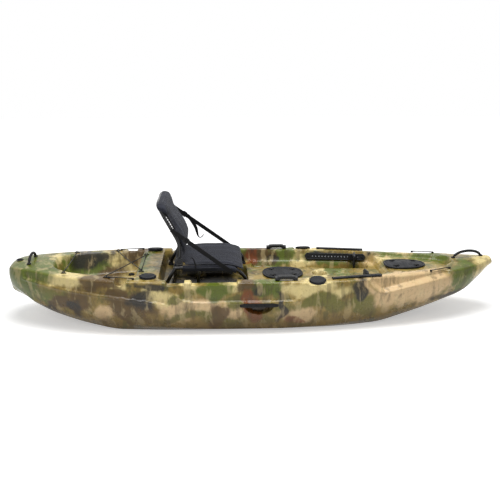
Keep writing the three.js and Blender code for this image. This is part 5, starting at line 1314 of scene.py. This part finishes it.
for side, sign in sides.items():
    ride(makeRail(f"brace_rail_{side}", side, braceSpec), "hull_body", "black_plastic", f"foot_rail_{side}")
    finishPiece(makeStops(f"brace_stops_{side}", side, braceSpec), "hull_body", "anodised_aluminium",
                grained["bright"])
    ride(makePedal(f"brace_pedal_{side}", side, braceSpec), f"pedal_{side}", "black_plastic",
         f"foot_pedal_{side}")
print("foot braces ready")


# Deck cords: pad eyes, laced shock cord and paddle keepers

cordSpec = {"radius": 0.0029, "keeper": 0.0034}


# A small plate with a loop of bar standing on it, screwed down at both ends.
def makePadEye(name, place):
    plate = moulding("plate", oval(0.0168, 0.0068, 0.75, 1.0, 40),
                     [(0.0004, 0.0), (0, 0.0006), (0, 0.0026), (0.0008, 0.0036), (0.0022, 0.0039)], place)
    angle = np.linspace(0, math.pi, 22)
    path = np.column_stack([0.0062 * np.cos(angle), np.zeros(22), 0.0030 + 0.0088 * np.sin(angle) ** 0.8])
    loop = sweep("loop", path + place, circle(0.0021, 12))
    heads = [screwHead("screw", place + np.array([end * 0.0122, 0, 0.0036]), (0, 0, 1), 0.0030, 0.0012)
             for end in (-1, 1)]
    return joinPieces(name, [plate, loop] + heads)


for side in sides:
    for i in (1, 2, 3):
        eye = f"pad_eye_{i}_{side}"
        ride(makePadEye(f"lacing_eye_{i}_{side}", nodePlace(eye)), "hull_body", "black_plastic", eye)


# A strand pulled between two eyes: its line dips by a share of its span, and a wrapped knot ends it.
def strand(a, b, dip, radius):
    t = np.linspace(0, 1, 48)[:, None]
    path = a + (b - a) * t
    path[:, 2] -= dip * (4 * t[:, 0] * (1 - t[:, 0]))
    pieces = [sweep("run", path, circle(radius, 12))]
    for p, q in ((a, b), (b, a)):
        away = (q - p) / np.linalg.norm(q - p)
        knot = [(radius * 0.9, -0.0050), (radius * 1.45, -0.0042), (radius * 1.60, -0.0020),
                (radius * 1.35, -0.0004),
                (radius * 1.60, 0.0014), (radius * 1.50, 0.0038), (radius * 0.9, 0.0052)]
        pieces.append(turned("knot", knot, p, away, count=18, sharp=None))
    return pieces


# Where the cord hooks on: each port pad eye's foot, moved inboard and up into the loop.
def hookPoints():
    reach = 0.022
    out = []
    for i in (1, 2, 3):
        foot = nodePlace(f"pad_eye_{i}_port")
        out.append(np.array([foot[0], foot[1] - reach, foot[2] + 0.005]))
    return out


rearHook, middleHook, frontHook = hookPoints()
flip = np.array([1, -1, 1])
rearCord = joinPieces("shock_cord_rear", strand(rearHook, rearHook * flip, 0.004, cordSpec["radius"]))
laceCord = joinPieces("shock_cord_lace", strand(middleHook, frontHook * flip, 0.006, cordSpec["radius"])
                      + strand(middleHook * flip, frontHook, 0.001, cordSpec["radius"])
                      + strand(frontHook, frontHook * flip, 0.004, cordSpec["radius"]))
ride(rearCord, "hull_body", "shock_cord", "bungee_rear")
ride(laceCord, "hull_body", "shock_cord", "bungee_lace")


# A rubber keeper strap: a sagging bar between two button ends.
def makeKeeper(name, side, ends):
    posts = [np.array([x * hullSpec["halfLength"], side * y * hullSpec["halfBeam"], 0]) for x, y in ends]
    for p in posts:
        p[2] = crownedDeck(p[0], p[1]) + 0.0008
    t = np.linspace(0, 1, 40)[:, None]
    lift = np.array([0, 0, 0.0064])
    path = posts[0] + (posts[1] - posts[0]) * t + lift
    path[:, 2] += 0.0012 * np.sin(t[:, 0] * math.pi)
    thick = 1 - 0.25 * softStep(0.10, 0.22, t[:, 0]) * softStep(0.90, 0.78, t[:, 0])
    pieces = [sweep("bar", path, circle(cordSpec["keeper"], 14), scale=thick)]
    profile = [(0.0070, 0.0), (0.0075, 0.0008), (0.0075, 0.0066), (0.0066, 0.0086), (0.0044, 0.0096),
               (0.0024, 0.0092)]
    pieces += [turned("button", profile, p, count=24) for p in posts]
    return joinPieces(name, pieces)


keeperPlaces = {"rear": [(-0.574, 0.755), (-0.481, 0.822)], "front": [(0.698, 0.540), (0.782, 0.435)]}
for kind, ends in keeperPlaces.items():
    for side, sign in sides.items():
        ride(makeKeeper(f"keeper_strap_{kind}_{side}", sign, ends), "hull_body", "rubber",
             f"paddle_keeper_{kind}_{side}")
print("deck cords ready")

# Seat frame: bent tubes, legs, cross tubes, feet and the plates that carry the back's pivots

seatSpec = {
    "tube": 0.011, "half": 0.235, "rail": 0.371, "footTop": 0.263, "floor": 0.2514,
    "rear": -0.54504, "front": -0.06603, "middle": -0.35502,
    "shoulderRear": -0.47794, "shoulderFront": -0.19993, "bend": 0.062,
}
backSpec = {"tube": 0.010, "half": 0.2115, "hinge": (-0.46604, 0.410), "knee": (-0.46802, 0.512),
            "top": (-0.58702, 0.747), "corner": 0.064}


# The side tube: a smooth curve from the rear foot over both shoulders to the front foot.
def cutFrameSide(spec, y):
    rear, front, bend, rail = spec["rear"], spec["front"], spec["bend"], spec["rail"]
    places = [(rear, spec["footTop"]), (rear + bend / 6, spec["footTop"] + bend / 2),
              (spec["shoulderRear"] - bend / 3, rail - bend / 4), (spec["shoulderRear"], rail),
              (spec["middle"], rail), (spec["shoulderFront"], rail), (front - bend, rail - bend / 4),
              (front - bend / 5, rail - bend), (front, spec["footTop"])]
    return smoothPath([(x, y, z) for x, z in places], 140)


# The flattened, drilled end plate that a pivot passes through.
def makeBracket(side):
    x = backSpec["hinge"][0]
    y = side * (backSpec["half"] + backSpec["tube"] + 0.0034)
    turn = turnOf((0, 0, 1), (side * 1.0, 0, 0), (0, side * 1.0, 0))
    return reliefSlab("plate", 0.062, 0.039, 0.0056, lambda a, b: 0 * a, (x, y - side * 0.0028, 0.401), turn,
                      steps=(40, 20), soft=0.0012, square=0.0)


# Two side tubes with a middle leg each, three cross tubes and the pivot plates.
def makeSeatFrame(name, spec):
    pieces = []
    for side in (1, -1):
        y = side * spec["half"]
        pieces.append(sweep("side", cutFrameSide(spec, y), circle(spec["tube"], 20)))
        leg = [(spec["middle"], y, z) for z in np.linspace(spec["footTop"] - 0.004, spec["rail"] - 0.004, 6)]
        pieces.append(sweep("leg", leg, circle(spec["tube"] * 0.88, 18)))
        pieces.append(makeBracket(side))
    crossings = [(spec["shoulderRear"], spec["rail"]), (spec["middle"], spec["footTop"] + 0.031),
                 (spec["front"] - spec["bend"], spec["rail"] - spec["bend"] / 4)]
    for x, z in crossings:
        bar = [(x, y, z) for y in np.linspace(-spec["half"], spec["half"], 12)]
        pieces.append(sweep("cross", bar, circle(spec["tube"] * 0.86, 18)))
    return joinPieces(name, pieces)


# A flared rubber foot turned about each leg.
def makeFeet(name, spec):
    profile = [(0.0150, 0.0), (0.0168, 0.0008), (0.0170, 0.0030), (0.0166, 0.0062), (0.0140, 0.0100),
               (0.0126, 0.0170), (0.0121, 0.0200), (0.0112, 0.0206)]
    feet = []
    for side in (1, -1):
        for x in (spec["rear"], spec["middle"], spec["front"]):
            feet.append(turned("foot", profile, (x, side * spec["half"], spec["floor"]), count=28))
    return joinPieces(name, feet)


ride(makeSeatFrame("seat_tubes", seatSpec), "seat_base", "powder_coat", "seat_frame")
ride(makeFeet("seat_feet", seatSpec), "seat_base", "rubber")

backCurve = smoothPath([(x, 0, z) for x, z in (backSpec[key] for key in ("hinge", "knee", "top"))], 80)


# How far back the hoop's middle line is at a height.
def backLine(z):
    return np.interp(z, backCurve[:, 2], backCurve[:, 0])


# A hoop of tube over the back, eyes round its pivots and a brace at the knee.
def makeBackFrame(name, spec):
    half, corner = spec["half"], spec["corner"]
    hinge, knee, top = spec["hinge"], spec["knee"], spec["top"]
    edge = top[1] - corner
    cut = corner * 0.3
    middle, bend = (knee[1] + edge) / 2, top[1] - cut
    up = [(hinge[0], half, hinge[1]), (knee[0], half, knee[1]), (backLine(middle), half, middle),
          (backLine(edge), half, edge), (backLine(bend), half - cut, bend), (top[0], half - corner, top[1])]
    path = smoothPath(up + [(top[0], 0, top[1])] + [(x, -y, z) for x, y, z in reversed(up)], 180)
    pieces = [sweep("hoop", path, circle(spec["tube"], 20))]
    eye = [(0.0052, -0.0095), (0.0100, -0.0095), (0.0118, -0.0080), (0.0118, 0.0080), (0.0100, 0.0095),
           (0.0052, 0.0095)]
    for side in (1, -1):
        pieces.append(turned("eye", eye, (hinge[0], side * half, hinge[1]), (0, 1, 0), count=28))
    brace = [(backLine(knee[1]), y, knee[1]) for y in np.linspace(-half, half, 12)]
    pieces.append(sweep("brace", brace, circle(spec["tube"] * 0.66, 16)))
    return joinPieces(name, pieces)


ride(makeBackFrame("back_hoop", backSpec), "seat_back", "powder_coat", "seat_back_frame")


# A lobed hand knob on the pivot's pin.
def makeKnob(name, side):
    angle = fullTurn(72)
    lobes = 1 - 0.075 * (0.5 - 0.5 * np.cos(angle * 6))
    start = backSpec["half"] + backSpec["tube"] + 0.0072
    rows = []
    profile = [(0.0050, -0.026, 0), (0.0050, 0, 0), (0.0110, 0.0006, 0), (0.0150, 0.0014, 1),
               (0.0168, 0.0034, 1), (0.0168, 0.0086, 1), (0.0155, 0.0108, 1),
               (0.0120, 0.0118, 0.4), (0.0060, 0.0112, 0)]
    for radius, past, share in profile:
        out = start + past
        r = radius * (1 + (lobes - 1) * share)
        rows.append(np.column_stack([backSpec["hinge"][0] + r * np.cos(angle), np.full(72, side * out),
                                     backSpec["hinge"][1] + r * np.sin(angle)]))
    return gridMesh(name, np.array(rows), sharp=40)


for side, sign in sides.items():
    ride(makeKnob(f"pivot_knob_{side}", sign), "seat_base", "black_plastic", f"seat_pivot_{side}")
print("seat frame ready")


# Seat cloth: padded panels inflated a little by a cloth simulation, then piped along their edges

panSpec = {"rear": -0.500, "front": -0.083, "half": 0.241, "rearHalf": 0.186, "thick": 0.013, "crown": 0.004,
           "under": 0.3842, "fall": 0.050, "fallStart": -0.200, "cap": 0.005,
           "dip": (-0.330, -0.375, 0.42)}
padSpec = {"bottom": 0.441, "top": 0.761, "half": 0.212, "wrapHalf": 0.2255, "thick": 0.012, "lumbar": 0.028,
           "rear": 0.0125, "tubeRear": -0.0185, "wrapStart": 0.660, "wrapEnd": 0.735, "cap": 0.006,
           "lumbarStart": (0.450, 0.535)}


# Copies a piece, remeshes it evenly, swells it under pressure and keeps each point near its start.
def inflate(obj, voxel, pressure, cap):
    scene = bpy.context.scene
    depsgraph = bpy.context.evaluated_depsgraph_get()
    remesh = obj.modifiers.new("remesh", "REMESH")
    remesh.mode, remesh.voxel_size, remesh.use_smooth_shade = "VOXEL", voxel, True
    depsgraph.update()
    even = bpy.data.meshes.new_from_object(obj.evaluated_get(depsgraph))
    obj.modifiers.clear()
    obj.data = even
    start = meshPoints(even)
    cloth = obj.modifiers.new("cloth", "CLOTH")
    cloth.settings.use_pressure = True
    cloth.settings.uniform_pressure_force = pressure
    cloth.settings.effector_weights.gravity = 0
    cloth.settings.quality = 5
    cloth.point_cache.frame_start, cloth.point_cache.frame_end = 1, 20
    for step in range(1, 21):
        scene.frame_set(step)
    depsgraph = bpy.context.evaluated_depsgraph_get()
    shift = meshPoints(obj.evaluated_get(depsgraph).to_mesh()) - start
    obj.evaluated_get(depsgraph).to_mesh_clear()
    obj.modifiers.clear()
    scene.frame_set(1)
    size = np.linalg.norm(shift, axis=1, keepdims=True)
    shift = shift * (np.tanh(size / cap) * cap / np.maximum(size, 1e-9))
    even.vertices.foreach_set("co", (start + shift).ravel())
    even.update()
    smooth = obj.modifiers.new("subdivision", "SUBSURF")
    smooth.levels = smooth.render_levels = 1
    even.shade_smooth()
    return obj


# The pan's half width: narrow between the pivots, full ahead of them.
def panHalf(x, spec):
    widening = (spec["half"] - spec["rearHalf"]) * softStep(-0.443, -0.432, x)
    return spec["rearHalf"] + widening + 0.018 * softStep(-0.484, -0.492, x)


# The pan lies on its rails and falls away over the front bend; u runs aft to fore, v round the section.
def makePan(name, spec):
    u = (1 - np.cos(np.linspace(0, math.pi, 110))) / 2
    a = fullTurn(132)
    x = spec["rear"] + u * (spec["front"] - spec["rear"])
    past = np.clip((x - spec["fallStart"]) / (spec["front"] - spec["fallStart"]), 0, 1)
    bottom = spec["under"] - spec["fall"] * past ** 2 * (1 - 0.25 * past)
    ends = np.clip(np.minimum(u, 1 - u) / 0.03, 0, 1)
    full = np.sqrt(1 - (1 - ends) ** 2)
    c, s = np.cos(a), np.sin(a)
    across = squared(c, 0.42)
    lift = squared(s, 0.36)
    corner = 1 - 0.05 * (1 - full)
    half = panHalf(x, spec) * corner
    y = half[:, None] * across[None]
    front, rear, less = spec["dip"]      # room for the folded back
    thick = spec["thick"] * full * (1 - less * softStep(front, rear, x))
    middle = bottom + thick / 2
    crown = spec["crown"] * (1 - across ** 2)[None] * (lift > 0)[None] * full[:, None]
    z = middle[:, None] + thick[:, None] / 2 * lift[None] + crown * np.abs(lift)[None]
    points = np.stack([np.broadcast_to(x[:, None], y.shape), y, z], axis=-1)
    return gridMesh(name, points)


# The back panel: in front of its hoop low down, and pulled over the hoop as a sleeve higher up.
def makeBackPad(name, spec):
    u = np.linspace(0, 1, 120)
    u = u + 0.5 / math.pi * 0.35 * -np.sin(2 * math.pi * u)
    a = fullTurn(140)
    z = spec["bottom"] + u * (spec["top"] - spec["bottom"])
    wrap = softStep(spec["wrapStart"], spec["wrapEnd"], z)
    topRun, lowRun = 0.040, 0.012
    over = np.clip((z - (spec["top"] - topRun)) / topRun, 0, 1)
    under = np.clip(1 - (z - spec["bottom"]) / lowRun, 0, 1)
    drawn = softStep(0.585, 0.615, z) * (1 - wrap)
    half = spec["half"] + (spec["wrapHalf"] - spec["half"]) * wrap - 0.018 * drawn
    lowRound = np.sqrt(1 - under ** 2)
    half = half - 0.046 * (1 - np.sqrt(np.maximum(0, 1 - over ** 2.2))) - 0.004 * (1 - lowRound)
    last = np.clip((z - (spec["top"] - 0.020)) / 0.020, 0, 1)
    end = np.sqrt(np.maximum(0, 1 - last ** 2)) * lowRound
    rear = (spec["rear"] + (spec["tubeRear"] - spec["rear"]) * wrap)
    swell = np.sin(math.pi * np.clip(u * 1.10, 0, 1)) ** 1.2 * softStep(*spec["lumbarStart"], z)
    c, s = np.cos(a), np.sin(a)
    across = squared(c, 0.40)
    thick = spec["thick"] * (0.30 + 0.70 * softStep(spec["bottom"], 0.500, z)) + 0.021 * wrap
    front = (np.maximum(spec["rear"], rear + 0.004) + thick)[:, None] \
        + spec["lumbar"] * swell[:, None] * (1 - np.abs(across) ** 3)[None]
    back = np.broadcast_to(rear[:, None], front.shape)
    centre = (np.maximum(spec["rear"], rear + 0.004) + thick + rear)[:, None] / 2
    lift = np.abs(s) ** 0.45
    far = np.where(s > 0, front, back)
    off = centre + (far - centre) * lift[None] * np.maximum(end, 0.02)[:, None]
    x = backLine(z)[:, None] + off
    y = half[:, None] * across[None]
    points = np.stack([x, y, np.broadcast_to(z[:, None], x.shape)], axis=-1)
    return gridMesh(name, points)


pan = inflate(makePan("seat_panel", panSpec), 0.005, 4.0, panSpec["cap"])
ride(pan, "seat_base", "seat_fabric", "seat_pan")
backPad = inflate(makeBackPad("back_panel", padSpec), 0.005, 4.0, padSpec["cap"])
ride(backPad, "seat_back", "seat_fabric", "seat_back_pad")
print("seat cloth ready")


# Finds where a line of points meets a soft piece, coming from a given direction.
def onSurface(obj, points, direction, lift):
    depsgraph = bpy.context.evaluated_depsgraph_get()
    tree = BVHTree.FromObject(obj, depsgraph)
    way = Vector(direction).normalized()
    out = []
    for p in points:
        hit = tree.ray_cast(Vector(p) - way * 0.2, way)[0]
        if hit is not None:
            out.append(np.array(hit) - np.array(way) * lift)
    return np.array(out)


# Piping: a cord in a folded strip, half sunk in the seam it finishes.
pipingSpec = {"radius": 0.0024, "inset": 0.007}


# Piping dropped onto the pan: once round its open edge and once along its rear.
def makePanPiping(name, obj, spec):
    corner = [(x, panHalf(np.array(x), panSpec) - spec["inset"], 0.3)
              for x in np.linspace(-0.470, -0.100, 40)]
    corner += [(-0.094, 0.226, 0.3), (-0.090, 0.214, 0.3)]
    front = [(-0.0885, y, 0.3) for y in np.linspace(0.19, -0.19, 20)]
    loop = corner + front + [(x, -y, z) for x, y, z in reversed(corner)]
    path = onSurface(obj, smoothPath(loop, 260), (0, 0, -1), 0.0004)
    rear = onSurface(obj, [(-0.480, y, 0.3) for y in np.linspace(-0.170, 0.170, 40)], (0, 0, -1), 0.0004)
    section = circle(spec["radius"], 10)
    return joinPieces(name, [sweep("edge", path, section), sweep("rear", rear, section)])


# Piping pushed onto the back panel from ahead: round its edge and as two seams across.
def makePadPiping(name, obj, spec):
    side = [(0, 0.190, z) for z in np.linspace(0.470, 0.640, 20)]
    side += [(0, 0.198, 0.66), (0, 0.206, 0.69), (0, 0.204, 0.715), (0, 0.194, 0.738), (0, 0.172, 0.754),
             (0, 0.14, 0.762)]
    loop = side + [(0, 0, 0.765)] + [(x, -y, z) for x, y, z in reversed(side)]
    path = onSurface(obj, smoothPath(loop, 260), (-1, 0, 0), 0.0004)
    pieces = [sweep("edge", path, circle(spec["radius"], 10))]
    for z in (0.530, 0.655):
        seam = onSurface(obj, [(0, y, z) for y in np.linspace(-0.186, 0.186, 60)], (-1, 0, 0), -0.0002)
        pieces.append(sweep("seam", seam, circle(spec["radius"] * 0.55, 8)))
    return joinPieces(name, pieces)


sleeveSpec = {"rear": -0.446, "front": -0.128, "wide": 0.0128, "tall": 0.0195, "drop": 0.005,
              "tubeX": -0.484, "tubeZ": 0.3725, "tubeHalf": 0.204, "deep": 0.0165, "high": 0.0160}


# Cloth pulled round a side rail; the rear cross tube's cloth and the panel's piping on its outside are made
# further down.
def makeRailSleeve(name, side, spec):
    frameSide = cutFrameSide(seatSpec, side * seatSpec["half"])
    x = np.linspace(spec["rear"], spec["front"], 60)
    rail = np.interp(x, frameSide[:, 0], frameSide[:, 2])
    a = fullTurn(28)
    snug = 1 - 0.10 * softStep(0.006, 0.0, np.minimum(x - spec["rear"], spec["front"] - x))
    wrinkle = 0.0007 * np.sin(x * 190)[:, None] * np.sin(a * 2 + x[:, None] * 60)
    y = seatSpec["half"] + (spec["wide"] * snug)[:, None] * np.cos(a) + wrinkle
    z = rail[:, None] - spec["drop"] + (spec["tall"] * snug)[:, None] * np.sin(a) + wrinkle
    points = np.stack([np.broadcast_to(x[:, None], y.shape), side * y, z], axis=-1)
    return gridMesh(name, points)


# The same cloth round the rear cross tube: circles along it with a small ripple.
def makeRearSleeve(name, spec):
    y = np.linspace(-spec["tubeHalf"], spec["tubeHalf"], 50)
    a = fullTurn(28)
    wrinkle = 0.0008 * np.sin(y * 150)[:, None] * np.sin(a * 2 + y[:, None] * 50)
    x = spec["tubeX"] + spec["deep"] * np.cos(a)[None] + wrinkle
    z = spec["tubeZ"] + spec["high"] * np.sin(a)[None] + wrinkle
    points = np.stack([x, np.broadcast_to(y[:, None], x.shape), z], axis=-1)
    return gridMesh(name, points)


for side, sign in sides.items():
    ride(makeRailSleeve(f"rail_sleeve_{side}", sign, sleeveSpec), "seat_base", "seat_fabric")
    line = cutFrameSide(seatSpec, sign * seatSpec["half"])
    x = np.linspace(-0.440, -0.150, 50)
    path = np.column_stack([x, np.full(50, sign * (seatSpec["half"] + 0.0126)),
                            np.interp(x, line[:, 0], line[:, 2]) + 0.0015])
    finishPiece(sweep(f"rail_piping_{side}", path, circle(0.0019, 10)), "seat_base", "seat_fabric",
                pipingCloth)
ride(makeRearSleeve("rear_sleeve", sleeveSpec), "seat_base", "seat_fabric")


lacingSpec = {"low": 0.612, "high": 0.682, "turns": 6, "edge": 0.188, "slant": 0.008, "wrap": 0.0115}


# Lacing between the back panel's side and its hoop, below the sleeve.
def makeLacing(name, side, spec):
    pieces = []
    for z in np.linspace(spec["low"], spec["high"], spec["turns"]):
        tube = np.array([backLine(z), side * backSpec["half"], z])
        edge = np.array([backLine(z - spec["slant"]) + 0.018, side * spec["edge"], z - spec["slant"]])
        a = np.linspace(-0.8, 3.9, 14)
        wrap = tube + np.column_stack([-spec["wrap"] * np.sin(a), side * spec["wrap"] * np.cos(a),
                                       0.003 * np.cos(a)])
        pieces.append(sweep("lace", smoothPath(np.vstack([edge, wrap, edge + (0, 0, 0.010)]), 40),
                            circle(0.0014, 8)))
    return joinPieces(name, pieces)


for side, sign in sides.items():
    ride(makeLacing(f"back_lacing_{side}", sign, lacingSpec), "seat_back", "shock_cord")

panPiping = makePanPiping("seat_piping", pan, pipingSpec)
finishPiece(panPiping, "seat_base", "seat_fabric", pipingCloth)
padPiping = makePadPiping("back_piping", backPad, pipingSpec)
finishPiece(padPiping, "seat_back", "seat_fabric", pipingCloth)


# Webbing: a flat ribbon along a path, its width square to the path and to the boat's breadth.
def ribbon(name, path, width, thick, tip=1.0):
    path = np.asarray(path, float)
    tangent = np.gradient(path, axis=0)
    tangent /= np.linalg.norm(tangent, axis=1, keepdims=True)
    wide = np.cross(tangent, (0, 1.0, 0))
    wide /= np.linalg.norm(wide, axis=1, keepdims=True)
    face = np.cross(wide, tangent)
    w, t = width / 2, thick / 2
    section = [(-w, 0.35 * t), (-w * 0.97, t), (-w * 0.5, t), (0, t), (w * 0.5, t), (w * 0.97, t),
               (w, 0.35 * t), (w, -0.35 * t), (w * 0.97, -t), (w * 0.5, -t), (0, -t), (-w * 0.5, -t),
               (-w * 0.97, -t), (-w, -0.35 * t)]
    section = np.array(section)
    wide = wide * (1 + (tip - 1) * softStep(0.35, 0.85, np.linspace(0, 1, len(path))))[:, None]
    points = path[:, None] + wide[:, None] * section[None, :, :1] + face[:, None] * section[None, :, 1:]
    return gridMesh(name, points, sharp=60)


strapSpec = {"width": 0.025, "thick": 0.0022, "upper": {1: 0.668, -1: 0.602}, "bend": -0.20496,
             "lower": {1: (-0.12795, 0.354), -1: (-0.150, 0.341)}, "buckle": 0.24, "tail": 0.022}


# The strap's top, bend and low end on one side, in that order.
def strapLine(side):
    away, upper, lower = 0.0016, strapSpec["upper"][side], strapSpec["lower"][side]
    lowY = seatSpec["half"] + seatSpec["tube"] + 0.0050
    top = np.array([backLine(upper), backSpec["half"] + backSpec["tube"] + away, upper])
    low = np.array([lower[0], lowY, lower[1]])
    bend = top + (low - top) * (strapSpec["bend"] - top[0]) / (low[0] - top[0])
    bend[1] = lowY
    flipSide = np.array([1, side, 1])
    return top * flipSide, bend * flipSide, low * flipSide


# The main strap, stitched back on itself at its top end.
def makeStrap(name, side):
    top, bend, low = strapLine(side)
    t = np.linspace(0, 1, 90)[:, None]
    share = np.linalg.norm(bend - top) / (np.linalg.norm(bend - top) + np.linalg.norm(low - bend))
    path = np.where(t < share, top + (bend - top) * t / share,
                    bend + (low - bend) * (t - share) / (1 - share))
    strap = ribbon("strap", path, strapSpec["width"], strapSpec["thick"])
    pieces = [strap]
    way = (bend - top) / np.linalg.norm(bend - top)
    lap = top + way * np.linspace(0.004, 0.038, 12)[:, None] + np.array([0, side * 0.0022, 0])
    pieces.append(ribbon("lap", lap, strapSpec["width"] * 0.98, 0.0018))
    return joinPieces(name, pieces)


# A ladder lock: a rounded frame with two cross bars that the webbing passes through.
def makeBuckle(name, side):
    top, bend, _ = strapLine(side)
    way = (bend - top) / np.linalg.norm(bend - top)
    up = np.cross((0, 1.0, 0), way)
    centre = top + (bend - top) * strapSpec["buckle"] + way * 0.017
    out = np.array([0, 1.0, 0])
    a = fullTurn(72)
    c, s = np.cos(a), np.sin(a)
    long, high = 0.0150 * squared(c, 0.35), 0.0148 * squared(s, 0.35)
    loop = centre + way * long[:, None] + up * high[:, None]
    pieces = [sweep("frame", loop, circle(0.0020, 10) * np.array([1.0, 1.5]), closed=True)]
    for share in (-0.007, 0.004):
        bar = [centre + way * share + up * t + out * side * 0.0024 for t in np.linspace(-0.0145, 0.0145, 8)]
        pieces.append(sweep("bar", bar, circle(0.0019, 10)))
    return joinPieces(name, pieces)


# Loose ends of webbing: they hang from the buckle and curl at the tip.
tailPaths = {
    "port": [(-0.432, 0.230, 0.588), (-0.420, 0.232, 0.578), (-0.409, 0.234, 0.560), (-0.390, 0.235, 0.530),
             (-0.376, 0.235, 0.500), (-0.369, 0.236, 0.470), (-0.364, 0.236, 0.449), (-0.355, 0.236, 0.437),
             (-0.341, 0.236, 0.438), (-0.326, 0.236, 0.455)],
    "starboard": [(-0.3690, -0.2515, 0.366), (-0.3700, -0.252, 0.376), (-0.3728, -0.252, 0.3993),
                  (-0.3783, -0.252, 0.421), (-0.3868, -0.252, 0.4347), (-0.3986, -0.252, 0.4367)],
}

for side, sign in sides.items():
    top, bend, low = strapLine(sign)
    strap = makeStrap(f"webbing_{side}", sign)
    strap.data.materials.clear()
    strap.data.materials.append(finishes["webbing"])
    tuple(low)
    tuple(top)
    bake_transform(strap)
    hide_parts(f"seat_strap_{side}")
    ride(makeBuckle(f"ladder_lock_{side}", sign), "seat_back", "black_plastic", f"strap_buckle_{side}")
    wide, tip = (strapSpec["tail"], 0.25) if side == "port" else (0.0075, 0.8)
    tail = ribbon(f"webbing_tail_{side}", smoothPath(tailPaths[side], 70), wide, 0.0018, tip=tip)
    tail.data.materials.clear()
    tail.data.materials.append(finishes["webbing"])
    if side == "port":
        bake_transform(tail)
    else:
        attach(tail, "seat_base")
print("straps ready")


# Floor, light and world

stageSpec = {"half": 14.0, "floor": "#f4f4f4", "lift": (0.42, 0.75), "reach": (1.2, 4.0), "worldLight": 0.32}


# Seen from the camera or in reflections the floor glows white, less within a few metres of the boat: a painted
# shade round it that deepens its shadow.
def addFloor(spec):
    grid = np.linspace(-spec["half"], spec["half"], 9)
    x, y = np.meshgrid(grid, grid, indexing="ij")
    floor = gridMesh("floor", np.stack([x, y, np.zeros_like(x) - 0.0005], axis=-1), sheet=True)
    if floor.data.polygons[0].normal.z < 0:
        floor.data.flip_normals()
    material, tree, shader = newMaterial("matte white studio floor")
    setSockets(tree, shader, Base_Color=spec["floor"], Roughness=0.9, Specular_IOR_Level=0.1)
    path = addNode(tree, "ShaderNodeLightPath")
    seen = addNode(tree, "ShaderNodeMath", {"operation": "MAXIMUM", "use_clamp": True}, i0=(path, 0),
                   i1=(path, 3)), 0
    place = addNode(tree, "ShaderNodeTexCoord"), 3
    away = addNode(tree, "ShaderNodeVectorMath", {"operation": "LENGTH"}, Vector=place), 1
    near, far = spec["reach"]
    low, high = spec["lift"]
    lift = addNode(tree, "ShaderNodeMapRange", softRamp, i0=away, i1=near, i2=far, i3=low, i4=high), 0
    light = addNode(tree, "ShaderNodeMath", {"operation": "MULTIPLY"}, i0=seen, i1=lift), 0
    glow = addNode(tree, "ShaderNodeEmission", None, Color=(1, 1, 1, 1), Strength=light)
    both = addNode(tree, "ShaderNodeAddShader", None, i0=(shader, 0), i1=(glow, 0))
    tree.links.new(both.outputs[0], tree.nodes["Material Output"].inputs["Surface"])
    floor.data.materials.append(material)


def addWorld(spec):
    world = bpy.data.worlds.new("studio")
    bpy.context.scene.world = world
    world.use_nodes = True
    tree = world.node_tree
    background = tree.nodes["Background"]
    path = addNode(tree, "ShaderNodeLightPath")
    seen = addNode(tree, "ShaderNodeMath", {"operation": "MAXIMUM", "use_clamp": True}, i0=(path, 0),
                   i1=(path, 3)), 0
    seen = addNode(tree, "ShaderNodeMath", {"operation": "MAXIMUM", "use_clamp": True}, i0=seen,
                   i1=(path, 6)), 0
    strength = addNode(tree, "ShaderNodeMapRange", softRamp, i0=seen, i1=0.0, i2=1.0,
                       i3=spec["worldLight"], i4=1.0), 0
    setSockets(tree, background, Color=(1, 1, 1, 1), Strength=strength)


def addLamp(name, place, target, size, power):
    data = bpy.data.lights.new(name, "AREA")
    data.shape, data.size, data.size_y, data.energy = "RECTANGLE", size[0], size[1], power
    obj = bpy.data.objects.new(name, data)
    bpy.context.scene.collection.objects.link(obj)
    obj.location = place
    obj.rotation_euler = (Vector(target) - Vector(place)).to_track_quat("-Z", "Y").to_euler()


addFloor(stageSpec)
addWorld(stageSpec)
addLamp("overhead softbox", (0.0, -0.4, 3.2), (0, 0, 0.2), (3.4, 1.5), 135)
addLamp("front softbox", (-1.2, -3.6, 2.6), (0, 0, 0.3), (2.0, 1.2), 15)
bpy.context.scene.view_settings.view_transform = "Standard"
